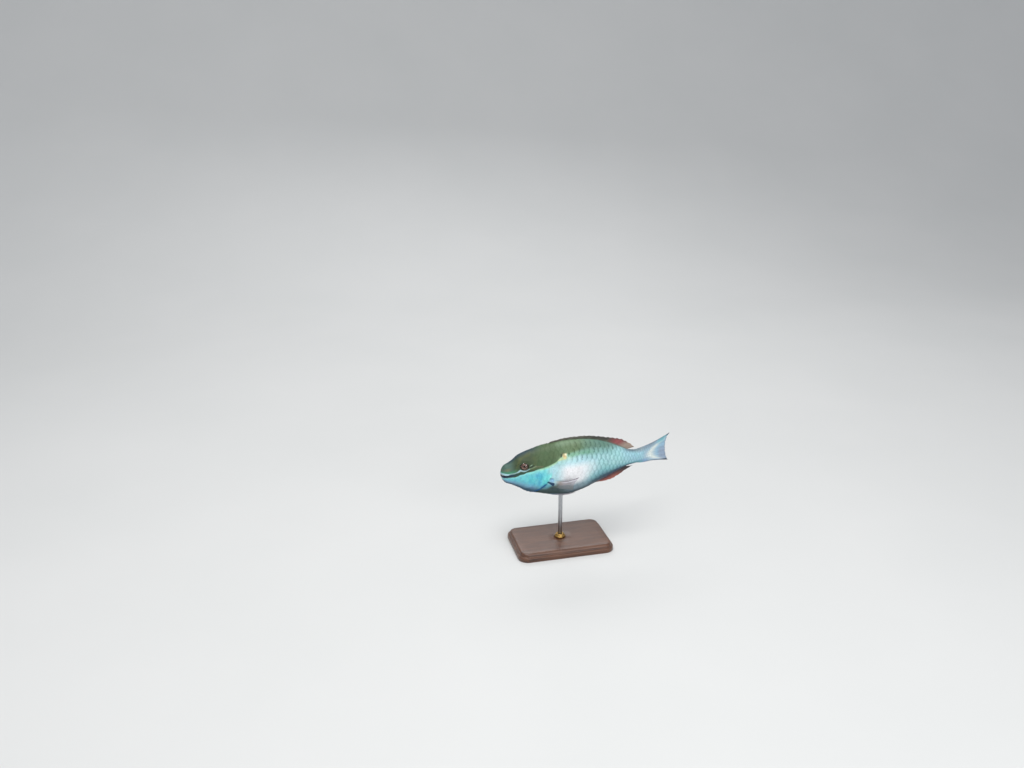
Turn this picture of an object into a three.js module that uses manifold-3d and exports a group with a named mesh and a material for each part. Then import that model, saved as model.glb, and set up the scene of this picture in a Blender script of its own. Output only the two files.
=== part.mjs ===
// Parrotfish, a life-size model on a stand.
// Millimetres, +Z up. The head points along -X, the fish's left side faces -Y.
// The origin is the middle of the stand's underside, below the rod.

import * as THREE from 'three';
import { mergeVertices } from 'three/addons/utils/BufferGeometryUtils.js';
import Module from 'manifold-3d';

const wasm = await Module();
wasm.setup();

// Driving sizes

const BODY_LENGTH = 178; // snout to the root of the tail fin
const STALK_LENGTH = 185.5; // snout to the end of the flesh under the tail fin
const NOSE_LENGTH = 7; // the blunt end of the snout
const GAP = 0.3; // air between neighbouring pieces

// Stations down the body: share of the length, back above the axis,
// belly below it and half the width.
const STATIONS = [
  [0.0, 9.2, 12.2, 5.6],
  [0.035, 10.2, 13.9, 7.2],
  [0.07, 13.4, 16.4, 8.7],
  [0.115, 20.0, 20.8, 10.4],
  [0.16, 23.5, 25.2, 11.8],
  [0.215, 26.8, 29.4, 13.3],
  [0.27, 29.3, 32.2, 14.6],
  [0.37, 32.0, 35.6, 16.2],
  [0.46, 33.3, 36.6, 16.4],
  [0.56, 32.7, 32.7, 15.4],
  [0.66, 29.6, 25.4, 13.0],
  [0.75, 24.2, 18.3, 10.2],
  [0.83, 17.2, 12.2, 7.6],
  [0.9, 11.3, 8.9, 5.6],
  [0.95, 9.5, 8.6, 4.4],
  [1.0, 10.2, 10.4, 3.1],
  [1.045, 11.2, 11.4, 1.7],
];
const BACK_SHARPNESS = 1.18; // above 1 narrows the back to a ridge
const BELLY_SHARPNESS = 1.06;

// The rear of the fish swings to its right, away from the side in view.
const BEND_START = 124.6;
const BEND_END = 195.8;
const BEND_ANGLE = 0.384;

const HEAD_END = 0.312; // share of the length at the gill cover's rear edge
const HEAD_END_SWEEP = 0.06; // how far the edge runs forward at the throat and the nape
const STALK_START = 0.79;

const EYE_AT = 0.147;
const EYE_ANGLE = 1.152; // round the body from the back
const EYE_RADIUS = 5.0;
const EYE_DEPTH = 3.6; // half the eyeball, inwards
const EYE_BULGE = 1.0; // how far the eye stands out of the head

const MOUTH_DEPTH = 11.5; // from the snout tip to the corner
const MOUTH_OPENING = 3.0;
const MOUTH_HEIGHT = -2.6;
const MOUTH_SLOPE = -0.1;
const BEAK_HEIGHT = 1.05;
const BEAK_THICKNESS = 1.1;
const BEAK_WIDTH = 4.4; // half the width of the tooth plates
const BEAK_LENGTH = 6;
const BEAK_INSET = 1.1; // how far the teeth stand behind the tip of the lips

const FIN_ROOT_THICKNESS = 1.7;
const FIN_EDGE_THICKNESS = 0.7;

const DORSAL_BASE = [0.315, 0.865]; // share of the length
const DORSAL_EDGE = [0.335, 0.94];
const DORSAL_HEIGHTS = [
  [0.33, 1.2],
  [0.42, 2.2],
  [0.5, 2.8],
  [0.6, 3.8],
  [0.7, 5.0],
  [0.76, 6.8],
  [0.81, 9.0],
  [0.85, 10.0],
  [0.887, 9.0],
  [0.925, 5.4],
  [0.94, 3.2],
];
const ANAL_BASE = [0.59, 0.84];
const ANAL_EDGE = [0.62, 0.935];
const ANAL_HEIGHTS = [
  [0.62, 0.8],
  [0.66, 1.5],
  [0.7, 4.2],
  [0.75, 7.0],
  [0.79, 8.1],
  [0.85, 6.9],
  [0.89, 5.2],
  [0.935, 2.8],
];

const TAIL_FIN_LENGTH = 32.5; // along the middle rays, from the end of the flesh
const TAIL_LOBE_EXTRA = 6.5; // how much further the outer rays reach
const TAIL_HALF_SPREAD = 18.4;
const TAIL_HALF_ROOT = 11.1;
const TAIL_DROP = 0.5; // how far the fin hangs below the axis

const PECTORAL_AT = 0.325;
const PECTORAL_ANGLES = [1.86, 2.18]; // upper and lower end of the base, round the body
const PECTORAL_LENGTH = 31.6; // of the uppermost ray
const PECTORAL_REACH = [0.8, 3.5]; // the lowest ray as a share of it, and how fast the rays shorten
const PECTORAL_FAN = [0.125, 0.02]; // ray directions, up from the fish's axis
const PECTORAL_SAG = 1.8; // how far the uppermost ray hangs below a straight line
const PECTORAL_LIFT = 6.5; // how far the tip stands off the flank
const PELVIC_AT = 0.335;
const PELVIC_ANGLES = [2.7, 2.9];
const PELVIC_LENGTH = 31;
const PELVIC_REACH = [0.6, 1.2];
const PELVIC_FAN = [0.03, -0.08];
const PELVIC_LIFT = 1.1;
const PELVIC_RISE = 0.5; // below 1 frees the fin close to its base

const AXIS_HEIGHT = 104; // the fish's axis above the floor
const ROD_AT = 0.415; // share of the length above which the rod stands
const ROD_DIAMETER = 5;
const ROD_TOP = 78;
const BASE_LENGTH = 118;
const BASE_WIDTH = 74;
const BASE_HEIGHT = 10;
const BASE_CORNER = 14;
const BASE_CHAMFER = 1.6;
const ROD_SOCKET_DEPTH = 5;
const COLLAR_DIAMETER = 13;
const COLLAR_HEIGHT = 4;

// Curves

// A smooth curve through the given points that never overshoots them.
function smoothCurve(points) {
  const xs = points.map((p) => p[0]);
  const ys = points.map((p) => p[1]);
  const n = xs.length;
  const steps = [];
  const slopes = [];
  for (let i = 0; i < n - 1; i += 1) {
    steps.push(xs[i + 1] - xs[i]);
    slopes.push((ys[i + 1] - ys[i]) / steps[i]);
  }
  const tangents = [slopes[0]];
  for (let i = 1; i < n - 1; i += 1) {
    const before = slopes[i - 1];
    const after = slopes[i];
    const w1 = 2 * steps[i] + steps[i - 1];
    const w2 = steps[i] + 2 * steps[i - 1];
    const turning = before * after <= 0;
    tangents.push(turning ? 0 : (w1 + w2) / (w1 / before + w2 / after));
  }
  tangents.push(slopes[n - 2]);
  return (value) => {
    const x = Math.min(Math.max(value, xs[0]), xs[n - 1]);
    let i = 0;
    while (i < n - 2 && x > xs[i + 1]) {
      i += 1;
    }
    const t = (x - xs[i]) / steps[i];
    const rise = t * t * (3 - 2 * t);
    const left = t * (1 - t) * (1 - t);
    const right = t * t * (t - 1);
    const bend = steps[i] * (left * tangents[i] + right * tangents[i + 1]);
    return ys[i] * (1 - rise) + ys[i + 1] * rise + bend;
  };
}

const backCurve = smoothCurve(STATIONS.map((s) => [s[0] * BODY_LENGTH, s[1]]));
const bellyCurve = smoothCurve(STATIONS.map((s) => [s[0] * BODY_LENGTH, s[2]]));
const widthCurve = smoothCurve(STATIONS.map((s) => [s[0] * BODY_LENGTH, s[3]]));
const dorsalHeight = smoothCurve(DORSAL_HEIGHTS);
const analHeight = smoothCurve(ANAL_HEIGHTS);

function lerp(a, b, t) {
  return a + (b - a) * t;
}

// How full the section is near the tip of the snout, from 0 to 1.
function noseFullness(x) {
  const t = Math.min(Math.max(1 - x / NOSE_LENGTH, 0), 1);
  return Math.sqrt(1 - t * t);
}

// The swing of the rear body as a heading, and the centreline that follows it.
function heading(x) {
  const t = Math.min(Math.max((x - BEND_START) / (BEND_END - BEND_START), 0), 1);
  return BEND_ANGLE * t * t * (3 - 2 * t);
}

const CENTRE_STEP = 0.25;
const centreline = [[0, 0]];
for (let i = 0; i < 1000; i += 1) {
  const turn = heading((i + 0.5) * CENTRE_STEP);
  const last = centreline[i];
  const next = [last[0] + Math.cos(turn) * CENTRE_STEP, last[1] + Math.sin(turn) * CENTRE_STEP];
  centreline.push(next);
}

// From the straight fish (x back from the snout, y to its right, z up)
// to the bent fish above its stand.
function pose(x, y, z) {
  const turn = heading(x);
  const place = Math.max(x, 0) / CENTRE_STEP;
  const i = Math.floor(place);
  const t = place - i;
  const cx = lerp(centreline[i][0], centreline[i + 1][0], t) + Math.min(x, 0);
  const cy = lerp(centreline[i][1], centreline[i + 1][1], t);
  return [
    cx - y * Math.sin(turn) - ROD_AT * BODY_LENGTH,
    cy + y * Math.cos(turn),
    z + AXIS_HEIGHT,
  ];
}

// A point of the body's outside, before posing. The angle runs from the back (0)
// over the left flank to the belly (pi) and on over the right flank.
function surfacePoint(x, angle, grow) {
  const full = noseFullness(x);
  const top = backCurve(x) * full + grow;
  const bottom = bellyCurve(x) * full + grow;
  const half = widthCurve(x) * full + grow;
  const c = Math.cos(angle);
  const s = Math.sin(angle);
  const sharp = c > 0 ? BACK_SHARPNESS : BELLY_SHARPNESS;
  const middle = (top - bottom) / 2;
  const y = -half * Math.sign(s) * Math.abs(s) ** sharp;
  const z = middle + c * (top + bottom) / 2;
  return [x, y, z];
}

// Solids from grids of points

function geometryFrom(positions, indices) {
  const geometry = new THREE.BufferGeometry();
  geometry.setAttribute('position', new THREE.Float32BufferAttribute(positions, 3));
  geometry.setIndex(indices);
  return geometry;
}

// A closed skin over rings of points, each ring the same length, with a fan
// of triangles to a middle point at either end.
function ringSolid(rings, firstMiddle, lastMiddle) {
  const count = rings[0].length;
  const positions = [];
  const indices = [];
  rings.forEach((ring) => ring.forEach((point) => positions.push(...point)));
  const first = rings.length * count;
  positions.push(...firstMiddle, ...lastMiddle);
  for (let i = 0; i < rings.length - 1; i += 1) {
    for (let j = 0; j < count; j += 1) {
      const a = i * count + j;
      const b = i * count + (j + 1) % count;
      indices.push(a, b, a + count);
      indices.push(b, b + count, a + count);
    }
  }
  const end = (rings.length - 1) * count;
  for (let j = 0; j < count; j += 1) {
    const k = (j + 1) % count;
    indices.push(first, k, j);
    indices.push(first + 1, end + j, end + k);
  }
  return geometryFrom(positions, indices);
}

const BODY_SIDES = 36;

// A length of the body between two edges, each given as a place for every angle.
function bodyPiece(startAt, endAt, count, spread, grow) {
  const rings = [];
  for (let i = 0; i <= count; i += 1) {
    const ring = [];
    for (let j = 0; j < BODY_SIDES; j += 1) {
      const angle = (j / BODY_SIDES) * Math.PI * 2;
      const x = lerp(startAt(angle), endAt(angle), spread(i / count));
      ring.push(pose(...surfacePoint(x, angle, grow)));
    }
    rings.push(ring);
  }
  const middleX = (at) => (at(0) + at(Math.PI)) / 2 + (at(Math.PI / 2) - at(0)) / 2;
  const first = middleX(startAt);
  const last = middleX(endAt);
  return ringSolid(rings, pose(first, 0, 0), pose(last, 0, 0));
}

// A plate between a root line and an edge line. The point function gives a
// place for u along the fin and v from root to edge, offset sideways by the
// given distance.
function platePiece(pointAt, countU, countV, thicknessAt) {
  const positions = [];
  const indices = [];
  const row = countV + 1;
  const sheet = (countU + 1) * row;
  [-1, 1].forEach((side) => {
    for (let i = 0; i <= countU; i += 1) {
      for (let j = 0; j <= countV; j += 1) {
        const u = i / countU;
        const v = j / countV;
        positions.push(...pointAt(u, v, side * thicknessAt(u, v) / 2));
      }
    }
  });
  for (let i = 0; i < countU; i += 1) {
    for (let j = 0; j < countV; j += 1) {
      const a = i * row + j;
      const b = a + row;
      indices.push(a, b, a + 1, b, b + 1, a + 1);
      const c = a + sheet;
      const d = b + sheet;
      indices.push(c, c + 1, d, d, c + 1, d + 1);
    }
  }
  const rim = [];
  for (let i = 0; i <= countU; i += 1) {
    rim.push(i * row);
  }
  for (let j = 1; j <= countV; j += 1) {
    rim.push(countU * row + j);
  }
  for (let i = countU - 1; i >= 0; i -= 1) {
    rim.push(i * row + countV);
  }
  for (let j = countV - 1; j > 0; j -= 1) {
    rim.push(j);
  }
  rim.forEach((a, k) => {
    const b = rim[(k + 1) % rim.length];
    indices.push(a, a + sheet, b, b, a + sheet, b + sheet);
  });
  return geometryFrom(positions, indices);
}

function solidOf(geometry) {
  const plain = geometry.clone();
  plain.deleteAttribute('normal');
  plain.deleteAttribute('uv');
  const merged = mergeVertices(plain, 1e-4);
  const vertProperties = new Float32Array(merged.attributes.position.array);
  const triVerts = new Uint32Array(merged.index.array);
  const mesh = new wasm.Mesh({ numProp: 3, vertProperties, triVerts });
  mesh.merge();
  return new wasm.Manifold(mesh);
}

function geometryOf(solid) {
  const mesh = solid.getMesh();
  return geometryFrom(Array.from(mesh.vertProperties), Array.from(mesh.triVerts));
}

const group = new THREE.Group();
group.name = 'parrotfish';

function addNode(name, geometry, colour, roughness, metalness) {
  geometry.computeVertexNormals();
  const material = new THREE.MeshStandardMaterial({ color: colour, roughness, metalness });
  const mesh = new THREE.Mesh(geometry, material);
  mesh.name = name;
  group.add(mesh);
}

// Body

// The edge of the gill cover is furthest back at mid height.
function headEdge(angle) {
  const back = Math.sin(angle) ** 2;
  return (HEAD_END - HEAD_END_SWEEP * (1 - back)) * BODY_LENGTH;
}

const head = bodyPiece(
  () => 0,
  (angle) => headEdge(angle) - GAP / 2,
  16,
  (t) => 0.0004 + 0.9996 * t * t,
  0,
);
const trunk = bodyPiece(
  (angle) => headEdge(angle) + GAP / 2,
  () => STALK_START * BODY_LENGTH - GAP / 2,
  17,
  (t) => t,
  0,
);
const stalk = bodyPiece(
  () => STALK_START * BODY_LENGTH + GAP / 2,
  () => STALK_LENGTH,
  9,
  (t) => t,
  0,
);

// The whole body a gap's width larger, taken away from the fins at their roots.
const clearance = solidOf(bodyPiece(
  () => -GAP,
  () => STALK_LENGTH + GAP,
  48,
  (t) => 0.0004 + t * (0.35 + 0.6496 * t),
  GAP,
));

// Eyes

function eyeSolid(side, grow) {
  const x = EYE_AT * BODY_LENGTH;
  const angle = side * EYE_ANGLE;
  const step = 0.5;
  const here = new THREE.Vector3(...pose(...surfacePoint(x, angle, 0)));
  const behind = new THREE.Vector3(...pose(...surfacePoint(x + step, angle, 0)));
  const round = new THREE.Vector3(...pose(...surfacePoint(x, angle + 0.02 * side, 0)));
  const along = behind.sub(here).normalize();
  const down = round.sub(here).normalize();
  const out = new THREE.Vector3().crossVectors(down, along).multiplyScalar(side).normalize();
  const depth = EYE_DEPTH + grow;
  const radius = EYE_RADIUS + grow;
  const ball = new THREE.SphereGeometry(1, 18, 10);
  ball.scale(radius, depth, radius);
  const turn = new THREE.Quaternion().setFromUnitVectors(new THREE.Vector3(0, 1, 0), out);
  ball.applyQuaternion(turn);
  const middle = here.addScaledVector(out, EYE_BULGE - EYE_DEPTH);
  ball.translate(middle.x, middle.y, middle.z);
  return solidOf(ball);
}

// Mouth and beak

// The cleft of the mouth: a wedge open to the front, closed at the corners.
function mouthWedge() {
  const lineAt = (x) => MOUTH_HEIGHT + MOUTH_SLOPE * x;
  const half = MOUTH_OPENING / 2;
  const narrowing = BEAK_INSET + BEAK_LENGTH + 1;
  const outline = new THREE.Shape();
  outline.moveTo(-3, lineAt(-3) + half);
  outline.lineTo(narrowing, lineAt(narrowing) + half);
  outline.lineTo(MOUTH_DEPTH, lineAt(MOUTH_DEPTH) + 0.25);
  outline.lineTo(MOUTH_DEPTH, lineAt(MOUTH_DEPTH) - 0.25);
  outline.lineTo(narrowing, lineAt(narrowing) - half);
  outline.lineTo(-3, lineAt(-3) - half);
  outline.closePath();
  const wedge = new THREE.ExtrudeGeometry(outline, { depth: 40, bevelEnabled: false });
  wedge.rotateX(Math.PI / 2);
  wedge.translate(-ROD_AT * BODY_LENGTH, 20, AXIS_HEIGHT);
  return solidOf(wedge);
}

// One plate of fused teeth: a band bent round the front of the jaw.
function beakPlate(side) {
  const steps = 10;
  const outline = new THREE.Shape();
  const outer = [];
  const inner = [];
  for (let i = 0; i <= steps; i += 1) {
    const turn = lerp(-1, 1, i / steps) * Math.PI / 2;
    const reach = 1 - Math.cos(turn);
    const across = Math.sin(turn);
    outer.push([BEAK_INSET + BEAK_LENGTH * reach, BEAK_WIDTH * across]);
    inner.push([
      BEAK_INSET + BEAK_THICKNESS + (BEAK_LENGTH - BEAK_THICKNESS) * reach,
      (BEAK_WIDTH - BEAK_THICKNESS) * across,
    ]);
  }
  outline.moveTo(...outer[0]);
  outer.slice(1).forEach((p) => outline.lineTo(...p));
  inner.reverse().forEach((p) => outline.lineTo(...p));
  outline.closePath();
  const plate = new THREE.ExtrudeGeometry(outline, { depth: BEAK_HEIGHT, bevelEnabled: false });
  const floor = side > 0 ? 0.12 : -0.12 - BEAK_HEIGHT;
  plate.translate(0, 0, MOUTH_HEIGHT + floor);
  const lean = Math.atan(MOUTH_SLOPE);
  plate.rotateY(-lean);
  plate.translate(-ROD_AT * BODY_LENGTH, 0, AXIS_HEIGHT);
  return plate;
}

// Head, trunk and tail stalk

const rodHole = new THREE.CylinderGeometry(
  ROD_DIAMETER / 2 + GAP,
  ROD_DIAMETER / 2 + GAP,
  ROD_TOP + GAP,
  24,
);
rodHole.rotateX(Math.PI / 2);
rodHole.translate(0, 0, (ROD_TOP + GAP) / 2);

const headSolid = solidOf(head)
  .subtract(mouthWedge())
  .subtract(eyeSolid(1, GAP))
  .subtract(eyeSolid(-1, GAP));
addNode('head', geometryOf(headSolid), 0x6f9a86, 0.45, 0);
addNode('trunk', geometryOf(solidOf(trunk).subtract(solidOf(rodHole))), 0x9ec4c4, 0.45, 0);
addNode('tail_stalk', stalk, 0x97c3d2, 0.45, 0);
addNode('eye_left', geometryOf(eyeSolid(1, 0)), 0x6e4b46, 0.15, 0);
addNode('eye_right', geometryOf(eyeSolid(-1, 0)), 0x6e4b46, 0.15, 0);
addNode('beak_upper', beakPlate(1), 0xe6e0cc, 0.35, 0);
addNode('beak_lower', beakPlate(-1), 0xe6e0cc, 0.35, 0);

// Fins

function finThickness(u, v) {
  return lerp(FIN_ROOT_THICKNESS, FIN_EDGE_THICKNESS, v);
}

// The dorsal fin stands on the back, the anal fin hangs from the belly.
function medianFin(base, edge, heightAt, curve, side) {
  const root = 2.5;
  return platePiece(
    (u, v, offset) => {
      const footX = lerp(base[0], base[1], u) * BODY_LENGTH;
      const tipShare = lerp(edge[0], edge[1], u);
      const tipX = tipShare * BODY_LENGTH;
      const footZ = curve(footX) - root;
      const tipZ = curve(tipX) + heightAt(tipShare);
      const x = lerp(footX, tipX, v);
      const z = side * lerp(footZ, tipZ, v);
      return pose(x, offset * side, z);
    },
    26,
    2,
    finThickness,
  );
}

function finSolid(raw) {
  return geometryOf(solidOf(raw).subtract(clearance));
}

const dorsal = medianFin(DORSAL_BASE, DORSAL_EDGE, dorsalHeight, backCurve, 1);
addNode('dorsal_fin', finSolid(dorsal), 0x8a5a4c, 0.55, 0);
const anal = medianFin(ANAL_BASE, ANAL_EDGE, analHeight, bellyCurve, -1);
addNode('anal_fin', finSolid(anal), 0xa05a48, 0.55, 0);

// The tail fin spreads from the stalk to two drawn-out corners.
const tailFin = platePiece(
  (u, v, offset) => {
    const w = 1 - 2 * u;
    const footX = STALK_LENGTH + GAP;
    const lobe = TAIL_LOBE_EXTRA * Math.abs(w) ** 2.4;
    const tipX = STALK_LENGTH + TAIL_FIN_LENGTH + lobe;
    const footZ = w * TAIL_HALF_ROOT;
    const tipZ = w * TAIL_HALF_SPREAD;
    const flare = v ** 1.35;
    const drop = TAIL_DROP * v;
    return pose(lerp(footX, tipX, v), offset, lerp(footZ, tipZ, flare) - drop);
  },
  22,
  6,
  finThickness,
);
addNode('tail_fin', tailFin, 0xa5c8d7, 0.55, 0);

// A paired fin leaves the body at its base and lies back along it, its tip
// a little way off the flank.
function pairedFin(at, angles, length, shorten, fan, sag, lift, rise, side) {
  const roundness = 27; // mm of flank to each radian round the body
  return platePiece(
    (across, v, offset) => {
      const u = side > 0 ? 1 - across : across;
      const direction = lerp(fan[0], fan[1], u);
      const reach = length * lerp(shorten[0], 1, (1 - u) ** shorten[1]);
      const x = at * BODY_LENGTH + v * reach * Math.cos(direction);
      const baseAngle = lerp(angles[0], angles[1], u);
      const hang = sag * (1 - u) * Math.sin(Math.PI * v) ** 2;
      const angle = baseAngle + (hang - v * reach * Math.sin(direction)) / roundness;
      const stand = lerp(-1.2, lift, v ** rise) + offset;
      return pose(...surfacePoint(x, side * angle, stand));
    },
    11,
    5,
    finThickness,
  );
}

[['left', 1], ['right', -1]].forEach(([word, side]) => {
  const pectoral = pairedFin(
    PECTORAL_AT,
    PECTORAL_ANGLES,
    PECTORAL_LENGTH,
    PECTORAL_REACH,
    PECTORAL_FAN,
    PECTORAL_SAG,
    PECTORAL_LIFT,
    1,
    side,
  );
  addNode(`pectoral_fin_${word}`, finSolid(pectoral), 0x8f8f94, 0.55, 0);
  const pelvic = pairedFin(
    PELVIC_AT,
    PELVIC_ANGLES,
    PELVIC_LENGTH,
    PELVIC_REACH,
    PELVIC_FAN,
    0,
    PELVIC_LIFT,
    PELVIC_RISE,
    side,
  );
  addNode(`pelvic_fin_${word}`, finSolid(pelvic), 0x96705f, 0.55, 0);
});

// Stand

const plateOutline = new THREE.Shape();
const halfLength = BASE_LENGTH / 2 - BASE_CHAMFER;
const halfWidth = BASE_WIDTH / 2 - BASE_CHAMFER;
plateOutline.moveTo(-halfLength + BASE_CORNER, -halfWidth);
plateOutline.lineTo(halfLength - BASE_CORNER, -halfWidth);
plateOutline.quadraticCurveTo(halfLength, -halfWidth, halfLength, -halfWidth + BASE_CORNER);
plateOutline.lineTo(halfLength, halfWidth - BASE_CORNER);
plateOutline.quadraticCurveTo(halfLength, halfWidth, halfLength - BASE_CORNER, halfWidth);
plateOutline.lineTo(-halfLength + BASE_CORNER, halfWidth);
plateOutline.quadraticCurveTo(-halfLength, halfWidth, -halfLength, halfWidth - BASE_CORNER);
plateOutline.lineTo(-halfLength, -halfWidth + BASE_CORNER);
plateOutline.quadraticCurveTo(-halfLength, -halfWidth, -halfLength + BASE_CORNER, -halfWidth);
const basePlate = new THREE.ExtrudeGeometry(plateOutline, {
  depth: BASE_HEIGHT - 2 * BASE_CHAMFER,
  bevelEnabled: true,
  bevelThickness: BASE_CHAMFER,
  bevelSize: BASE_CHAMFER,
  bevelSegments: 1,
  curveSegments: 8,
});
basePlate.translate(0, 0, BASE_CHAMFER);
const baseSocket = new THREE.CylinderGeometry(
  ROD_DIAMETER / 2 + GAP,
  ROD_DIAMETER / 2 + GAP,
  ROD_SOCKET_DEPTH * 2,
  24,
);
baseSocket.rotateX(Math.PI / 2);
baseSocket.translate(0, 0, BASE_HEIGHT);
const baseSolid = solidOf(basePlate).subtract(solidOf(baseSocket));
addNode('stand_base', geometryOf(baseSolid), 0x5a3a26, 0.5, 0);

const rodBottom = BASE_HEIGHT - ROD_SOCKET_DEPTH + GAP;
const rod = new THREE.CylinderGeometry(
  ROD_DIAMETER / 2,
  ROD_DIAMETER / 2,
  ROD_TOP - rodBottom,
  24,
);
rod.rotateX(Math.PI / 2);
rod.translate(0, 0, (ROD_TOP + rodBottom) / 2);
addNode('stand_rod', rod, 0xb4b6b8, 0.3, 1);

const collarOutline = new THREE.Shape();
collarOutline.absarc(0, 0, COLLAR_DIAMETER / 2 - 0.6, 0, Math.PI * 2, false);
const collarHole = new THREE.Path();
collarHole.absarc(0, 0, ROD_DIAMETER / 2 + GAP + 0.6, 0, Math.PI * 2, true);
collarOutline.holes.push(collarHole);
const collar = new THREE.ExtrudeGeometry(collarOutline, {
  depth: COLLAR_HEIGHT - 1.2,
  bevelEnabled: true,
  bevelThickness: 0.6,
  bevelSize: 0.6,
  bevelSegments: 1,
  curveSegments: 10,
});
collar.translate(0, 0, BASE_HEIGHT + GAP + 0.6);
addNode('stand_collar', collar, 0xb79a5a, 0.35, 1);

export default group;
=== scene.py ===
"""A life-size parrotfish: skin, scales, rayed fins, eyes, beak, stand, floor, lights and camera.

Sizes are in millimetres until a mesh is made. The straight fish runs along x from the snout, y to its right
and z up; pose() bends it and sets it over the stand. Round the body, an angle of 0 is the back, pi the
belly, and positive angles are the left side. In the paint, s is a share of the length, t the way round from
the back and mm about one radian's length there.
"""

import math

import bpy
import numpy as np
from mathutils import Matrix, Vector


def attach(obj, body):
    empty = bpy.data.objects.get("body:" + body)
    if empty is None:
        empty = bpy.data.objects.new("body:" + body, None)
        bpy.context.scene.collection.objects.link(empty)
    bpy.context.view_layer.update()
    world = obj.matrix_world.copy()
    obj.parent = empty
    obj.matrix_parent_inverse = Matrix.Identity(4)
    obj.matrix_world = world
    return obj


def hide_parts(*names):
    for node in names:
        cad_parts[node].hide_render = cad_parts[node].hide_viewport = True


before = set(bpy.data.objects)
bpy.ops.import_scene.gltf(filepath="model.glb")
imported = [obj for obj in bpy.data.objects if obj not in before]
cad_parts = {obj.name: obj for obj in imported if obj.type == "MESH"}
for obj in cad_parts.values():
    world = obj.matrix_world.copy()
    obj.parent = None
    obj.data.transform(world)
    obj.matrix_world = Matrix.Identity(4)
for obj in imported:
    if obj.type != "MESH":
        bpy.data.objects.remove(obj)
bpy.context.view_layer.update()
rng = np.random.default_rng(11)

# Sizes, the same as the solids'
LENGTH = 178.0
STALK_END = 185.5
NOSE = 7.0
# Share of the length, back above the axis, belly below it and half the width
STATIONS = np.array([
    [0.0, 9.2, 12.2, 5.6], [0.035, 10.2, 13.9, 7.2], [0.07, 13.4, 16.4, 8.7], [0.115, 20.0, 20.8, 10.4],
    [0.16, 23.5, 25.2, 11.8], [0.215, 26.8, 29.4, 13.3], [0.27, 29.3, 32.2, 14.6], [0.37, 32.0, 35.6, 16.2],
    [0.46, 33.3, 36.6, 16.4], [0.56, 32.7, 32.7, 15.4], [0.66, 29.6, 25.4, 13.0], [0.75, 24.2, 18.3, 10.2],
    [0.83, 17.2, 12.2, 7.6], [0.9, 11.3, 8.9, 5.6], [0.95, 9.5, 8.6, 4.4], [1.0, 10.2, 10.4, 3.0],
    [1.045, 11.0, 11.4, 1.35], [1.1, 11.9, 12.4, 0.5],
])
FLESH_END = 195.0
BACK_SHARPNESS, BELLY_SHARPNESS = 1.18, 1.06
BEND_START, BEND_END, BEND_ANGLE = 124.6, 195.8, 0.384
AXIS_HEIGHT, ROD_AT = 104.0, 0.415

SKIN_DEPTH = 0.45  # how far the skin lies under the tips of the scales
SCALE_THICK = 0.11
EYE_AT, EYE_ANGLE = 0.147, 1.152
EYE_OPENING, EYE_OVAL = 4.8, 0.80  # half the length of the opening, and its height as a share of that
MOUTH_DEPTH, MOUTH_HEIGHT, MOUTH_SLOPE = 11.5, -2.6, -0.1
MM = 0.001
SIDES = (("left", 1), ("right", -1))

# Curves


def curve(points):
    """A smooth curve through points that never overshoots them."""
    xs, ys = np.asarray(points, float).T
    h = np.diff(xs)
    d = np.diff(ys) / h
    m = np.concatenate([d[:1], np.zeros(len(xs) - 2), d[-1:]])
    for i in range(1, len(xs) - 1):
        if d[i - 1] * d[i] > 0:
            w1, w2 = 2 * h[i] + h[i - 1], h[i] + 2 * h[i - 1]
            m[i] = (w1 + w2) / (w1 / d[i - 1] + w2 / d[i])

    def at(x):
        x = np.clip(np.asarray(x, float), xs[0], xs[-1])
        i = np.clip(np.searchsorted(xs, x) - 1, 0, len(xs) - 2)
        t = (x - xs[i]) / h[i]
        rise = t * t * (3 - 2 * t)
        bend = h[i] * (t * (1 - t) ** 2 * m[i] + t * t * (t - 1) * m[i + 1])
        return ys[i] * (1 - rise) + ys[i + 1] * rise + bend

    return at


def smooth(a, b, v):
    """0 at a and 1 at b, with an easy start and end."""
    t = np.clip((np.asarray(v, float) - a) / (b - a), 0, 1)
    return t * t * (3 - 2 * t)


def band(v, a, b, c, d):
    """0 up to a, 1 from b to c and 0 again past d."""
    return smooth(a, b, v) * smooth(d, c, v)


def hump(v, centre, width):
    """1 at the centre, falling off to both sides."""
    return np.exp(-(((v - centre) / width) ** 2))


def lerp(a, b, t):
    return a + (b - a) * t


def totals(steps):
    """Running totals along the last axis, from 0."""
    sums = np.cumsum(steps, axis=-1)
    return np.concatenate([np.zeros_like(sums[..., :1]), sums], -1)


def heading(x):
    """Which way the fish points at x, in radians."""
    return BEND_ANGLE * smooth(BEND_START, BEND_END, x)


back, belly, halfwidth = (curve(STATIONS[:, [0, i]] * [LENGTH, 1]) for i in (1, 2, 3))
STEP = 0.25
LINE_AT = np.arange(1001) * STEP
LINE_TURN = heading(LINE_AT[:-1] + STEP / 2)
LINE_X, LINE_Y = totals(np.cos(LINE_TURN) * STEP), totals(np.sin(LINE_TURN) * STEP)


def pose(x, y, z):
    """The straight fish's points as points of the bent fish over its stand."""
    x, y, z = np.broadcast_arrays(np.asarray(x, float), y, z)
    turn = heading(x)
    cx = np.interp(x, LINE_AT, LINE_X) + np.minimum(x, 0)
    cy = np.interp(x, LINE_AT, LINE_Y)
    return np.stack([cx - y * np.sin(turn) - ROD_AT * LENGTH, cy + y * np.cos(turn), z + AXIS_HEIGHT], -1)


def posed(p, side=1):
    """Points of the straight fish's left side as posed points; side -1 puts them on its right."""
    x, y, z = np.moveaxis(p, -1, 0)
    return pose(x, y * side, z)


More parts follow.
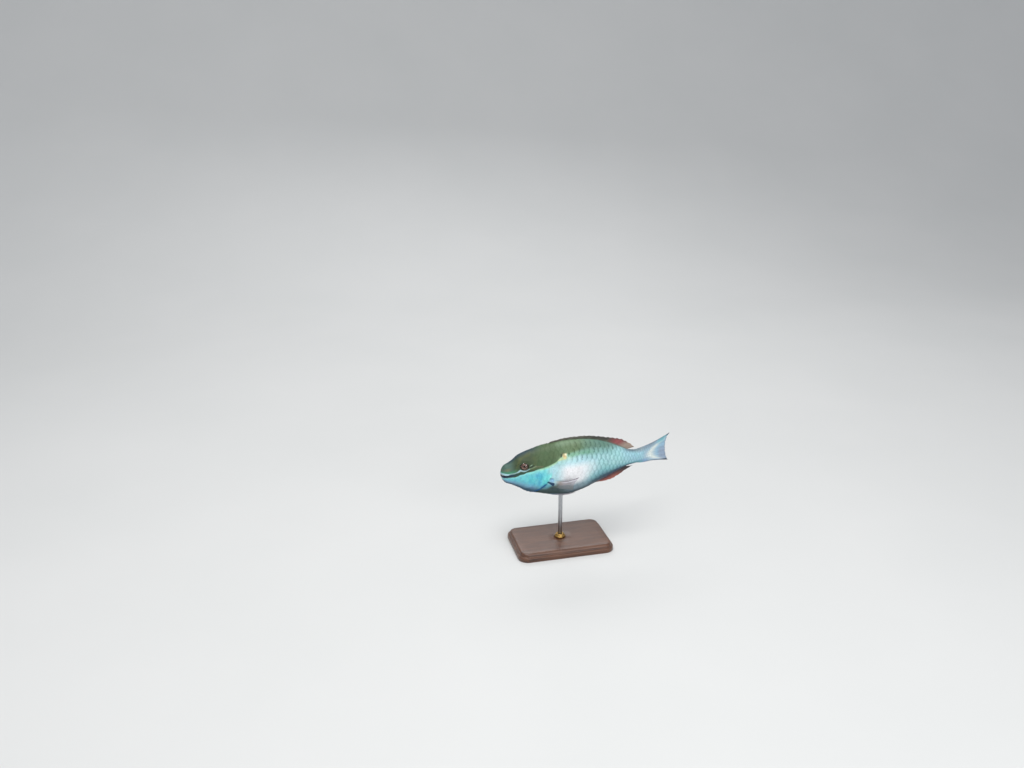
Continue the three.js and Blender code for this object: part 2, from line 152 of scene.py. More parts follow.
def section(x, angle):
    """The straight body's outside."""
    x, angle = np.broadcast_arrays(np.asarray(x, float), np.asarray(angle, float))
    ahead = np.clip(1 - x / NOSE, 0, 1)
    full = np.sqrt(1 - ahead * ahead)
    top, bottom, half = back(x) * full, belly(x) * full, halfwidth(x) * full
    c, s = np.cos(angle), np.sin(angle)
    sharp = np.where(c > 0, BACK_SHARPNESS, BELLY_SHARPNESS)
    y = -half * np.sign(s) * np.abs(s) ** sharp
    return np.stack([x, y, (top - bottom) / 2 + c * (top + bottom) / 2], -1)


def over(x, angle, height):
    """Points at a height over the straight body's outside."""
    ex, ea = 0.15, 0.012
    at = np.clip(x, 0.16, FLESH_END)
    around = section(at, angle + ea) - section(at, angle - ea)
    n = np.cross(around, section(at + ex, angle) - section(at - ex, angle))
    n /= np.maximum(np.linalg.norm(n, axis=-1, keepdims=True), 1e-9)
    return section(x, angle) + n * height[..., None]


# Equal steps round the body: a share of the half girth, 0 at the back and 1 at the belly.
TABLE_X = np.concatenate([np.linspace(0.02, 8, 60), np.linspace(8.4, 196, 470)])
TABLE_ANGLE = np.linspace(0, math.pi, 361)
TABLE_SHARE = np.linspace(0, 1, 241)
TABLE_POINTS = section(TABLE_X[:, None], TABLE_ANGLE)
TABLE_WAY = totals(np.linalg.norm(np.diff(TABLE_POINTS, axis=1), axis=2))
ANGLE_OF = np.stack([np.interp(TABLE_SHARE, way / way[-1], TABLE_ANGLE) for way in TABLE_WAY])


def girth(x):
    """Half the way round the body, in mm."""
    return np.interp(x, TABLE_X, TABLE_WAY[:, -1])


def angle_at(x, share):
    """The angle at a share of the half girth, also past the back and the belly."""
    x, share = np.broadcast_arrays(np.asarray(x, float), np.asarray(share, float))
    beyond, under = share > 1, share < 0
    f = np.clip(np.where(beyond, 2 - share, np.abs(share)), 0, 1) * (len(TABLE_SHARE) - 1)
    i = np.clip(np.searchsorted(TABLE_X, x) - 1, 0, len(TABLE_X) - 2)
    j = np.clip(f.astype(int), 0, len(TABLE_SHARE) - 2)
    ends = [lerp(ANGLE_OF[row, j], ANGLE_OF[row, j + 1], f - j) for row in (i, i + 1)]
    a = lerp(*ends, np.clip((x - TABLE_X[i]) / (TABLE_X[i + 1] - TABLE_X[i]), 0, 1))
    return np.where(beyond, 2 * math.pi - a, np.where(under, -a, a))


def from_back(angle):
    """How far round from the back a place is, on either side."""
    t = np.abs(np.asarray(angle, float))
    return np.where(t > math.pi, 2 * math.pi - t, t)


# Meshes


def make_object(name, points, faces, material, attributes=None, bake_uv=None):
    """A mesh from points in mm and faces of three or four corners. bake_uv has a pair for every corner."""
    mesh = bpy.data.meshes.new(name)
    points = np.reshape(points, (-1, 3)) * MM
    counts = np.concatenate([np.full(len(f), f.shape[1]) for f in faces])
    corners = np.concatenate([f.ravel() for f in faces]).astype(np.int32)
    mesh.vertices.add(len(points))
    mesh.vertices.foreach_set("co", points.ravel())
    mesh.loops.add(len(corners))
    mesh.loops.foreach_set("vertex_index", corners)
    mesh.polygons.add(len(counts))
    mesh.polygons.foreach_set("loop_start", totals(counts)[:-1].astype(np.int32))
    mesh.polygons.foreach_set("use_smooth", np.ones(len(counts), bool))
    for key, values in (attributes or {}).items():
        if key == "paint":
            layer = mesh.attributes.new(key, "FLOAT_COLOR", "POINT")
            values = np.reshape(values, (-1, 3))
            layer.data.foreach_set("color", np.hstack([values, np.ones((len(values), 1))]).ravel())
        else:
            layer = mesh.attributes.new(key, "FLOAT", "POINT")
            layer.data.foreach_set("value", np.asarray(values, float).ravel())
    if bake_uv is not None:
        layer = mesh.uv_layers.new(name="OFBake")
        layer.data.foreach_set("uv", np.concatenate([u.reshape(-1, 2) for u in bake_uv]).ravel())
    mesh.update(calc_edges=True)
    mesh.validate()
    mesh.materials.append(material)
    made = bpy.data.objects.new(name, mesh)
    bpy.context.scene.collection.objects.link(made)
    return made


def ride(made, slot, *replaced):
    """Hangs a piece under the root and hides the nodes that it takes the place of; its slot is not used."""
    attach(made, "root")
    if replaced:
        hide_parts(*replaced)


def grid(rows, columns, wrap=False, start=0, flip=False):
    """Quads over rows x columns points, and for every corner its (row, column) place, unwrapped."""
    i, j = np.meshgrid(np.arange(rows - 1), np.arange(columns if wrap else columns - 1), indexing="ij")
    i, j = i.ravel(), j.ravel()
    ij = np.stack([np.stack(corner, 1) for corner in ((i, j), (i, j + 1), (i + 1, j + 1), (i + 1, j))], 1)
    if flip:
        ij = ij[:, ::-1]
    return start + ij[..., 0] * columns + ij[..., 1] % columns, ij


def fan(tip, start, count, flip=False):
    """Triangles from a point to the ring of points from start on."""
    j = np.arange(count)
    k = (j + 1) % count
    return np.stack([np.full(count, tip), start + (j if flip else k), start + (k if flip else j)], 1)


# Paint


def rgb(r, g, b):
    """A display colour, 0 to 255, as linear light."""
    c = np.array([r, g, b]) / 255
    return np.where(c <= 0.04045, c / 12.92, ((c + 0.055) / 1.055) ** 2.4)


def mix(a, b, amount):
    amount = np.clip(np.asarray(amount, float), 0, 1)[..., None]
    return a * (1 - amount) + b * amount


def coats(colour, *layers):
    """A colour with others laid over it in turn, each with how much of it shows."""
    for other, amount in layers:
        colour = mix(colour, other, amount)
    return colour


SNOUT = rgb(72, 98, 88)
SNOUT_GREEN = rgb(64, 138, 104)
SNOUT_OCHRE = rgb(124, 120, 82)
OLIVE_HEAD = rgb(60, 74, 50)
OLIVE_PATCH = rgb(86, 92, 50)
OLIVE_NAPE = rgb(74, 96, 64)
OLIVE_BACK = rgb(94, 116, 84)
# painted light: the top of the back lighter, as if lit from above
BACK_PAINTED_LIGHT = rgb(114, 136, 108)
GREY_GREEN = rgb(96, 124, 110)
GREY_TEAL = rgb(112, 146, 142)
GREY_TEAL_LOW = rgb(98, 146, 138)
# painted shade along the top of the head
FOREHEAD_SHADE = rgb(40, 62, 74)
GREEN_FRINGE = rgb(104, 160, 112)
TURQUOISE = rgb(108, 192, 206)
TURQUOISE_REAR = rgb(84, 190, 208)
CHEEK_PALE = rgb(122, 218, 214)
CHEEK_BLUE = rgb(84, 166, 204)
AQUA = rgb(134, 226, 220)
CYAN_EDGE = rgb(160, 236, 222)
# painted highlight along the gill cover's raised edge
GILL_EDGE_HIGHLIGHT = rgb(170, 244, 240)
CHIN_BLUE = rgb(118, 162, 190)
# the chin's dark lower edge: partly its own colour, partly painted shade
CHIN_DARK = rgb(46, 72, 90)
WHITE = rgb(234, 234, 236)
PALE_BLUE = rgb(176, 214, 222)
PALE_TURQUOISE = rgb(158, 204, 206)
LOW_TURQUOISE = rgb(118, 176, 184)
FLANK_GREEN = rgb(140, 190, 168)
TEAL_DARK = rgb(34, 64, 84)
# painted shade on the underside: the belly greyer, and darker below it and at its front
BELLY = rgb(126, 146, 156)
UNDERSIDE_SHADE = rgb(74, 90, 98)
FRONT_UNDERSIDE_SHADE = rgb(58, 78, 76)
STALK_BLUE = rgb(154, 198, 210)
STALK_LOW = rgb(112, 146, 190)
STALK_TOP = rgb(94, 110, 120)
STALK_GREY = rgb(138, 150, 154)
# painted shade on the underside at the rear
REAR_UNDERSIDE_SHADE = rgb(26, 58, 84)
TAIL_CREAM = rgb(226, 234, 230)
STRIPE = rgb(160, 196, 204)
STRIPE_REAR = rgb(120, 142, 112)
STRIPE_TAN = rgb(128, 112, 92)
LINE_FRONT = rgb(22, 44, 74)
LINE_REAR = rgb(44, 74, 58)
LIME = rgb(160, 200, 140)
EYE_MARK = rgb(142, 168, 142)
BLOTCH_HALO = rgb(176, 208, 170)
BLOTCH = rgb(214, 200, 152)
BLOTCH_TAN = rgb(190, 160, 118)
BLOTCH_LIGHT = rgb(242, 238, 204)
BLOTCH_TAIL = rgb(196, 208, 156)
SPOT = rgb(36, 52, 38)
BLUE_MARK = rgb(14, 78, 136)
NAVY_MARK = rgb(8, 46, 84)
FIN_ROOT_BLUE = rgb(132, 178, 212)
FIN_ROOT_AQUA = rgb(106, 178, 198)
FIN_ROOT_GREY = rgb(106, 148, 156)

# Where the markings run: share of the length against the way round the body.
border_line = curve([
    [0.0, 2.5], [0.014, 2.178], [0.031, 1.853], [0.056, 1.778], [0.082, 1.757], [0.104, 1.689],
    [0.12, 1.612], [0.143, 1.56], [0.159, 1.487], [0.181, 1.454], [0.201, 1.424], [0.221, 1.389],
    [0.24, 1.357], [0.267, 1.331], [0.3, 1.269], [0.334, 1.2], [0.357, 1.135], [0.38, 1.035], [0.401, 0.96],
    [0.425, 0.905], [0.45, 0.9], [0.48, 0.88], [0.523, 0.86], [0.577, 0.85], [0.631, 0.85], [0.7, 0.83],
    [0.75, 0.72], [0.8, 0.5], [0.86, 0.25], [0.9, 0.05],
])
dark_line = [
    [-0.01, 2.5], [0.0, 2.2], [0.011, 1.92], [0.025, 1.77], [0.04, 1.66], [0.059, 1.595], [0.081, 1.6],
    [0.104, 1.58], [0.117, 1.53], [0.136, 1.477], [0.156, 1.435], [0.175, 1.395], [0.195, 1.376],
    [0.214, 1.363], [0.241, 1.336],
]
pale_line = [
    [-0.01, 1.7], [0.0, 1.64], [0.016, 1.52], [0.04, 1.475], [0.059, 1.44], [0.082, 1.45], [0.104, 1.425],
    [0.114, 1.375], [0.12, 1.35], [0.13, 1.375], [0.143, 1.4], [0.156, 1.383], [0.169, 1.34], [0.182, 1.298],
]
# The gill cover's rear edge: way round the body against share of the length.
gill_line = curve([
    [0.9, 0.262], [1.0, 0.285], [1.1, 0.305], [1.275, 0.322], [1.46, 0.325], [1.665, 0.321], [1.82, 0.310],
    [2.06, 0.292], [2.37, 0.254], [2.75, 0.212], [3.0, 0.18], [3.1416, 0.172],
])


def to_line(s, t, mm, points):
    """The distance in mm to a line over the skin, and the share of the length where it is nearest."""
    best, along = np.full(np.shape(s), 1e9), np.zeros(np.shape(s))
    for (s0, t0), (s1, t1) in zip(points[:-1], points[1:]):
        ax, ay = (s - s0) * LENGTH, (t - t0) * mm
        bx, by = (s1 - s0) * LENGTH, (t1 - t0) * mm
        k = np.clip((ax * bx + ay * by) / (bx * bx + by * by), 0, 1)
        d = np.hypot(ax - k * bx, ay - k * by)
        near = d < best
        best, along = np.where(near, d, best), np.where(near, s0 + k * (s1 - s0), along)
    return best, along


def mottle(s, down, size, turn):
    """An uneven field, mostly -1 to 1, with patches of about a size in mm; down is the way round in mm."""
    total = 0
    for i in range(7):
        way = turn + 2.4 * i
        wave = 2 * math.pi / (size * (1.2 + 0.2 * i))
        total = total + np.sin(wave * (math.cos(way) * s * LENGTH + math.sin(way) * down) + 1.7 * i * i)
    return total / 2.6


def tail_reach(w):
    """How far the tail fin reaches behind the stalk; w runs from -1 at its lower edge to 1 at its upper."""
    return 32.5 + 6.5 * np.abs(w) ** 2.4


def tail_colour(s, w):
    """Colours of the tail's root and fin, shared by the flesh and the fin."""
    v = (s * LENGTH - STALK_END) / tail_reach(w)
    middle = 0.2 + 0.8 * (w + 0.12) ** 2 + 0.025 * np.sin(w * 21)
    wide = 0.2 + 0.03 * np.sin(w * 33 + 1.0)
    return coats(
        mix(rgb(162, 190, 206), rgb(152, 190, 212), smooth(0.35, 0.6, v)),
        (rgb(150, 168, 192), smooth(0.55, 0.75, v) * smooth(0.45, -0.15, w)),
        (TAIL_CREAM, hump(v, middle, wide) * band(w, -0.95, -0.7, 0.45, 0.85)),
        (rgb(120, 134, 146), smooth(0.35, 0.85, w) * smooth(0.6, 0.2, v) * 0.65),
        (rgb(116, 190, 196), smooth(0.4, 0.8, w) * band(v, 0.45, 0.65, 0.85, 1.0) * 0.75),
        (rgb(188, 206, 216), hump(w, 0.74, 0.12) * smooth(0.8, 0.92, v) * 0.7),
        (rgb(102, 144, 192), smooth(-0.3, -0.9, w) * smooth(0.2, -0.1, v) * 0.8),
        (rgb(118, 116, 142), smooth(0.86, 0.97, -w) * smooth(0.7, 0.4, v) * 0.7),
    )


def cheek_paint(s, t, mm):
    """Cheek, gill cover and chin, with a painted highlight on the gill cover's edge and painted shade under
    the chin.
    """
    patch = mottle(s, t * mm, 5.5, 0.4)
    shown = smooth(0.03, 0.07, s) * smooth(2.3, 1.95, t)
    edge = hump((t - border_line(s)) * mm, 0.3, lerp(1.3, 3.4, smooth(0.14, 0.24, s)))
    ahead = (gill_line(t) - s) * LENGTH
    return coats(
        mix(TURQUOISE, TURQUOISE_REAR, smooth(0.14, 0.3, s)),
        (CHIN_BLUE, smooth(1.95, 2.35, t + 0.8 * np.maximum(0.1 - s, 0)) * 0.9),
        # the chin's dark lower edge: partly its own colour, partly painted shade under the head
        (CHIN_DARK, smooth(2.22, 2.6, t + 1.2 * np.maximum(s - 0.16, 0)) * 0.9),
        (CHEEK_PALE, smooth(0.1, 1.1, patch) * shown * 0.35),
        (CHEEK_BLUE, smooth(0.1, 1.1, -patch) * shown * 0.3),
        (CYAN_EDGE, edge * lerp(0.42, 0.6, smooth(0.1, 0.18, s))),
        (AQUA, smooth(13.0, 1.5, ahead) * smooth(2.0, 1.75, t) * 0.7),
        (PALE_BLUE, smooth(9.0, 0.5, ahead) * smooth(1.66, 1.45, t) * 0.85),
        # painted highlight along the gill cover's raised edge
        (GILL_EDGE_HIGHLIGHT, hump(ahead, 0.7, 1.3) * hump(t, 1.7, 0.11) * 0.8),
    )


def flank_paint(s, t):
    """Flank, belly and tail stalk, with painted shade on the underside."""
    low = t - np.interp(s, [0.5, 0.56, 0.62, 0.7, 0.8, 0.9, 1.0], [2.05, 1.95, 1.85, 1.8, 1.85, 2.0, 2.3])
    rear = smooth(0.5, 0.62, s)
    return coats(
        mix(PALE_TURQUOISE, STALK_BLUE, smooth(0.75, 0.95, s)),
        (STALK_LOW, smooth(1.8, 2.4, t) * smooth(0.88, 0.98, s) * 0.7),
        (PALE_BLUE, smooth(0.72, 0.5, s)),
        (WHITE, band(s, 0.345, 0.44, 0.5, 0.68) * band(t, 1.18, 1.5, 2.0, 2.25)),
        (LOW_TURQUOISE, smooth(-0.25, 0.25, low) * rear * 0.85),
        (TEAL_DARK, smooth(0.1, 0.6, low) * rear * smooth(0.95, 0.86, s)),
        # painted shade under the body: the belly greyer, darker further down and at the lower rear
        (BELLY, smooth(1.9, 2.25, t) * smooth(0.64, 0.52, s)),
        (UNDERSIDE_SHADE, smooth(2.25, 2.65, t) * smooth(0.78, 0.62, s)),
        (REAR_UNDERSIDE_SHADE, smooth(2.2, 2.5, t) * band(s, 0.66, 0.76, 0.9, 1.02) * 0.85),
        (STALK_TOP, smooth(0.95, 0.4, t) * smooth(0.8, 0.9, s) * 0.9),
        # painted shade under the front half of the body
        (FRONT_UNDERSIDE_SHADE, smooth(2.0, 2.12, t) * smooth(0.48, 0.37, s) * 0.9),
        (STALK_GREY, smooth(1.15, 0.75, t) * smooth(0.9, 1.0, s) * 0.6),
        (tail_colour(s, np.cos(t)), smooth(0.985, 1.045, s)),
        (FLANK_GREEN, hump(s, 0.37, 0.045) * smooth(1.42, 1.2, t) * 0.38),
    )


def back_paint(s, t, mm):
    """The green back, from the snout to the tail stalk, with painted light atop the back and painted shade
    atop the head.
    """
    patch = mottle(s, t * mm, 8.0, 1.1)
    return coats(
        mix(SNOUT, OLIVE_HEAD, smooth(0.05, 0.1, s)),
        (OLIVE_PATCH, smooth(0.0, 1.1, patch) * smooth(0.06, 0.1, s) * 0.5),
        (OLIVE_NAPE, smooth(0.17, 0.28, s)),
        (OLIVE_BACK, smooth(0.33, 0.43, s)),
        # painted light along the top of the back
        (BACK_PAINTED_LIGHT, smooth(0.62, 0.3, t) * smooth(0.34, 0.41, s) * 0.9),
        (GREY_GREEN, smooth(0.52, 0.7, s)),
        (GREY_TEAL, smooth(0.7, 0.84, s)),
        # painted shade along the top of the head
        (FOREHEAD_SHADE, smooth(0.6, 0.1, t) * band(s, 0.02, 0.06, 0.17, 0.3) * 0.85),
        (SNOUT_OCHRE, hump(s, 0.038, 0.02) * hump(t, 1.06, 0.16) * 0.6),
        (SNOUT_GREEN, hump(t, 1.36, 0.15) * smooth(0.13, 0.05, s) * 0.85),
    )


def body_paint(x, angle):
    """The fish's colours at a place, with x in mm and the angle from -pi to 2 pi."""
    x = np.asarray(x, float)
    s, t, mm = x / LENGTH, from_back(angle), np.maximum(girth(x), 4) / math.pi

    def stroke(points, width, softness):
        """How much of a painted line shows. Its width is one number, or places and the widths there."""
        d, at = to_line(s, t, mm, points)
        wide = np.interp(at, *width) if isinstance(width, tuple) else width
        return smooth(softness, -softness, d - wide)

    def spot(at_s, at_t, long, tall):
        """The distance from a spot's middle, 1 at a spot of this size in mm."""
        return np.hypot((s - at_s) * LENGTH / long, (t - at_t) * mm / tall)

    d = (t - border_line(s)) * mm
    soft = np.interp(s, [0.0, 0.4, 0.45, 0.6, 0.8], [0.35, 0.5, 1.5, 4.5, 6.0])
    green = smooth(1, -1, d / soft) * smooth(0.92, 0.76, s)
    rear_edge = smooth(1.3, 0.85, t) * band(s, 0.5, 0.58, 0.7, 0.8)
    c = coats(
        cheek_paint(s, t, mm),
        (flank_paint(s, t), smooth(0.0, 0.01, s - gill_line(t))),
        (back_paint(s, t, mm), green),
        (GREEN_FRINGE, hump(d, 1.6, 2.8) * band(s, 0.42, 0.46, 0.55, 0.7) * 0.75),
        (GREY_TEAL_LOW, rear_edge * (1 - 0.6 * green) * 0.6),
        (LIME, hump(d, 0.6, 0.75) * band(s, 0.2, 0.27, 0.4, 0.43) * 0.72),
    )

    # dark line from the corner of the mouth, pale stripe above it and the marks behind the eye
    _, at = to_line(s, t, mm, dark_line)
    wide = ([0.0, 0.02, 0.05, 0.1, 0.14, 0.19, 0.24], [0.9, 0.9, 0.95, 1.1, 0.8, 0.5, 0.0])
    pale = (
        [0.0, 0.03, 0.055, 0.095, 0.112, 0.135, 0.155, 0.182], [0.95, 0.9, 0.4, 0.35, 0.9, 0.6, 0.45, 0.2],
    )
    dark_wide = ([0.184, 0.198, 0.212], [0.45, 0.85, 0.3])
    dark_mark = stroke([[0.184, 1.235], [0.196, 1.205], [0.212, 1.155]], dark_wide, 0.35)
    pale_wide = ([0.182, 0.192, 0.2], [0.2, 0.5, 0.15])
    pale_mark = stroke([[0.182, 1.172], [0.190, 1.15], [0.2, 1.115]], pale_wide, 0.3)
    c = coats(
        c,
        (mix(LINE_FRONT, LINE_REAR, smooth(0.05, 0.12, at)), stroke(dark_line, wide, 0.45) * 0.93),
        (STRIPE, stroke(pale_line, pale, 0.4) * 0.85),
        (STRIPE_REAR, stroke([[0.182, 1.298], [0.202, 1.265], [0.222, 1.215]], 0.5, 0.4) * 0.65),
        (STRIPE_TAN, stroke([[0.222, 1.237], [0.248, 1.248], [0.269, 1.255]], 0.45, 0.45) * 0.5),
        (SPOT, dark_mark * 0.95),
        (EYE_MARK, pale_mark * 0.75),
    )

    # pale yellow blotch over the gill opening, with a thin tail down to the front and dark spots beside it
    turn = np.arctan2((t - 0.955) * mm, (s - 0.4165) * LENGTH)
    r = spot(0.4165, 0.955, 2.5, 3.0) * (1 + 0.13 * np.sin(3 * turn + 0.6) + 0.08 * np.sin(5 * turn + 2.1))
    tail = stroke([[0.422, 1.01], [0.4, 1.045], [0.372, 1.095]], ([0.372, 0.422], [0.5, 1.8]), 0.7)
    c = coats(
        c,
        (BLOTCH_HALO, hump((t - 1.06) * mm, 0, 2.6) * hump(s, 0.42, 0.04) * 0.5),
        (BLOTCH_TAIL, tail * 0.8),
        (BLOTCH, smooth(1.25, 0.65, r) * 0.92),
        (BLOTCH_TAN, smooth(1.5, 0.3, spot(0.4135, 0.955, 1.6, 1.4)) * 0.75),
        (BLOTCH_LIGHT, smooth(1.5, 0.3, spot(0.4225, 0.905, 1.3, 1.0)) * 0.85),
        (SPOT, stroke([[0.3935, 0.95], [0.3945, 0.88]], 0.9, 0.4) * 0.9),
        (rgb(104, 150, 104), smooth(1.3, 0.5, spot(0.44, 0.935, 1.6, 1.6)) * 0.7),
        (rgb(46, 80, 50), smooth(1.3, 0.5, spot(0.447, 0.892, 1.3, 1.3)) * 0.8),
        (rgb(92, 82, 60), smooth(1.3, 0.5, spot(0.404, 0.825, 1.2, 1.2)) * 0.5),
    )

    # dark blue along the lower edge of the gill cover and over the root of the pectoral fin
    d = (s - gill_line(t)) * LENGTH
    aqua = band(d, 0.4, 1.2, 3.5, 9.0) * band(t, 1.98, 2.06, 2.25, 2.45)
    navy = stroke([[0.299, 1.925], [0.318, 1.962], [0.337, 2.01]], ([0.3, 0.337], [0.55, 1.95]), 0.45)
    return coats(
        c,
        (BLUE_MARK, band(d, -3.6, -1.8, 0.3, 1.2) * band(t, 1.93, 2.05, 2.5, 2.75) * 0.95),
        (mix(FIN_ROOT_AQUA, FIN_ROOT_GREY, smooth(2.1, 2.35, t)), aqua * 0.85),
        (FIN_ROOT_BLUE, smooth(1.25, 0.6, spot(0.328, 1.85, 3.1, 2.0)) * 0.9),
        (BLUE_MARK, stroke([[0.315, 1.775], [0.335, 1.772]], 0.55, 0.35) * 0.7),
        (NAVY_MARK, navy * 0.97),
    )


# Materials


class Graph:
    """A short way to write a node material."""

    def __init__(self, name):
        self.material = bpy.data.materials.new(name)
        self.material.use_nodes = True
        self.tree = self.material.node_tree
        self.shader = next(n for n in self.tree.nodes if n.type == "BSDF_PRINCIPLED")

    def put(self, socket, value):
        if isinstance(value, bpy.types.NodeSocket):
            self.tree.links.new(value, socket)
        elif np.ndim(value):
            opaque = [1.0] if len(value) == 3 and socket.type == "RGBA" else []
            socket.default_value = [*value, *opaque]
        else:
            socket.default_value = value

    def add(self, kind, inputs=(), output=0, **settings):
        node = self.tree.nodes.new("ShaderNode" + kind)
        for key, value in settings.items():
            setattr(node, key, value)
        for key, value in dict(inputs).items():
            self.put(node.inputs[key], value)
        return node.outputs[output]

    def attribute(self, name, output="Fac"):
        return self.add("Attribute", output=output, attribute_name=name)

    def vector(self, x, y=0.0, z=0.0):
        return self.add("CombineXYZ", {0: x, 1: y, 2: z})

    def stretch(self, at, factors):
        return self.add("VectorMath", {0: at, 1: factors}, operation="MULTIPLY")

    def place(self):
        """Places in millimetres on the object."""
        return self.stretch(self.add("TexCoord", output=3), (1000, 1000, 1000))

    def noise(self, at, scale, detail=2.0, roughness=0.5, distortion=0.0):
        inputs = {"Scale": scale, "Detail": detail, "Roughness": roughness, "Distortion": distortion}
        return self.add("TexNoise", {"Vector": at, **inputs})

    def waves(self, at, scale, distortion, extra=(), **settings):
        inputs = {"Vector": at, "Scale": scale, "Distortion": distortion, **dict(extra)}
        return self.add("TexWave", inputs, output=1, **settings)

    def times(self, *values):
        product = values[0]
        for value in values[1:]:
            product = self.add("Math", {0: product, 1: value}, operation="MULTIPLY")
        return product

    def span(self, value, low, high, to_low=0.0, to_high=1.0):
        return self.add("MapRange", {0: value, 1: low, 2: high, 3: to_low, 4: to_high})

    def blend(self, amount, a, b):
        return self.add("Mix", {0: amount, 6: a, 7: b}, 2, data_type="RGBA")

    def shift(self, colour, hue=0.5, saturation=1.0, value=1.0):
        inputs = {"Hue": hue, "Saturation": saturation, "Value": value, "Color": colour}
        return self.add("HueSaturation", inputs)

    def bump(self, height, strength, distance, after=None):
        inputs = {"Height": height, "Strength": strength, "Distance": distance}
        return self.add("Bump", inputs if after is None else {**inputs, "Normal": after})

    def shade(self, colour, roughness, **inputs):
        """Joins the shader. A roughness of (noise, low, high) follows the noise."""
        if isinstance(roughness, tuple):
            roughness = self.span(roughness[0], 0.3, 0.7, *roughness[1:])
        for key, value in {"Base_Color": colour, "Roughness": roughness, **inputs}.items():
            self.put(self.shader.inputs[key.replace("_", " ")], value)
        return self.material


def skin_hue(g, at):
    """How the hue of skin and scales drifts."""
    return g.span(g.noise(at, 0.12, 3), 0.3, 0.7, 0.488, 0.512)


def skin_tone(g, at, fine):
    """How light skin and scales are from patch to patch."""
    return g.times(g.span(fine, 0.25, 0.75, 0.88, 1.11), g.span(g.noise(at, 0.42), 0.35, 0.65, 0.94, 1.06))


def skin_material():
    g = Graph("skin")
    at = g.place()
    fine, grain = g.noise(at, 1.1, 4, 0.6), g.noise(at, 5.0, 3, 0.6)
    saturation = g.span(fine, 0.3, 0.7, 0.92, 1.08)
    colour = g.shift(g.attribute("paint", "Color"), skin_hue(g, at), saturation, skin_tone(g, at, fine))
    colour = g.blend(g.span(grain, 0.62, 0.78, 0, 0.25), colour, rgb(30, 44, 40))
    pores = g.add("TexVoronoi", {"Vector": at, "Scale": 1.6, "Randomness": 1.0})
    bumps = g.bump(fine, 0.35, 0.0003, g.bump(g.span(pores, 0.0, 0.5), 0.25, 0.00012))
    return g.shade(colour, (fine, 0.44, 0.6), Normal=bumps, Specular_IOR_Level=0.32)


def scale_material():
    g = Graph("scales")
    at = g.place()
    rim, along, across, own, shown, flecked = (
        g.attribute(name) for name in ("rim", "along", "across", "own", "shown", "flecked")
    )
    fine, grain = g.noise(at, 1.3, 4, 0.6), g.noise(at, 6.0, 3, 0.6)
    value = g.times(skin_tone(g, at, fine), g.span(own, 0, 1, 0.96, 1.04))
    colour = g.shift(g.attribute("paint", "Color"), skin_hue(g, at), g.span(own, 0, 1, 1.04, 0.97), value)
    # the middle of each scale is paler, its free edge darker and greener
    pale = g.times(
        g.span(along, 0.35, 0.75), g.span(rim, 0.15, 0.6, 1, 0), g.span(shown, 0.2, 1.0, 0.02, 0.3),
    )
    colour = g.blend(pale, colour, g.shift(colour, saturation=0.7, value=1.35))
    edge = g.times(g.span(rim, 0.45, 0.95), g.span(grain, 0.3, 0.6, 0.6, 1.0), shown)
    colour = g.blend(edge, colour, g.shift(colour, saturation=1.35, value=0.5))
    # dark flecks on the free edges of the scales where the green back ends
    tick = g.times(
        g.span(rim, 0.25, 0.75),
        g.span(g.add("Math", {0: across}, operation="ABSOLUTE"), 0.8, 0.4),
        g.span(g.noise(at, 0.9, 3, 0.7), 0.4, 0.58),
        g.span(own, 0.0, 1.0, 0.45, 1.2),
        flecked,
    )
    colour = g.blend(tick, colour, g.shift(colour, saturation=1.2, value=0.36))
    # growth rings along the free edge and rays from the root
    rings = g.waves(g.vector(rim, along, own), 5.5, 0.6)
    spokes = g.waves(g.vector(across, 0.0, own), 3.0, 0.5)
    bumps = g.bump(grain, 0.3, 0.0001, g.bump(spokes, 0.05, 0.00004, g.bump(rings, 0.18, 0.00005)))
    return g.shade(colour, (fine, 0.42, 0.58), Normal=bumps, Specular_IOR_Level=0.34)


def fin_material(name, alpha=None):
    g = Graph(name)
    ray = g.attribute("ray")
    fine = g.noise(g.place(), 1.6, 4, 0.6)
    value, saturation = g.span(fine, 0.25, 0.75, 0.82, 1.16), g.span(fine, 0.3, 0.7, 1.1, 0.9)
    colour = g.shift(g.attribute("paint", "Color"), value=value, saturation=saturation)
    colour = g.blend(g.times(ray, 0.35), colour, g.shift(colour, saturation=1.15, value=0.62))
    joints = g.times(g.waves(g.vector(g.attribute("out")), 0.45, 0.4), ray)
    colour = g.blend(g.times(joints, 0.05), colour, rgb(225, 225, 215))
    bumps = g.bump(fine, 0.3, 0.00012, g.bump(joints, 0.15, 0.0001))
    sheer = {"Alpha": g.span(ray, 0.0, 0.6, alpha, 1.0)} if alpha else {}
    return g.shade(colour, (fine, 0.38, 0.55), Normal=bumps, Coat_Weight=0.1, Coat_Roughness=0.35, **sheer)


def eye_material():
    g = Graph("iris")
    r = g.attribute("radius")
    streaks = g.noise(g.vector(g.attribute("turn"), g.times(r, 0.25)), 5.0, 4, 0.65)
    clouds = g.noise(g.place(), 1.1, 3)
    colour = g.blend(g.span(streaks, 0.3, 0.7), rgb(102, 76, 68), rgb(138, 108, 94))
    colour = g.blend(g.span(clouds, 0.4, 0.65, 0, 0.4), colour, rgb(80, 56, 54))
    colour = g.blend(g.span(r, 3.3, 4.4), colour, rgb(46, 34, 30))
    colour = g.blend(g.times(g.span(r, 1.65, 1.45), 0.6), colour, rgb(180, 136, 92))
    colour = g.blend(g.span(r, 1.36, 1.28), colour, rgb(12, 12, 14))
    bumps = g.bump(g.times(streaks, g.span(r, 1.6, 2.0)), 0.4, 0.0002)
    return g.shade(colour, (streaks, 0.3, 0.45), Normal=bumps, Specular_IOR_Level=0.15)


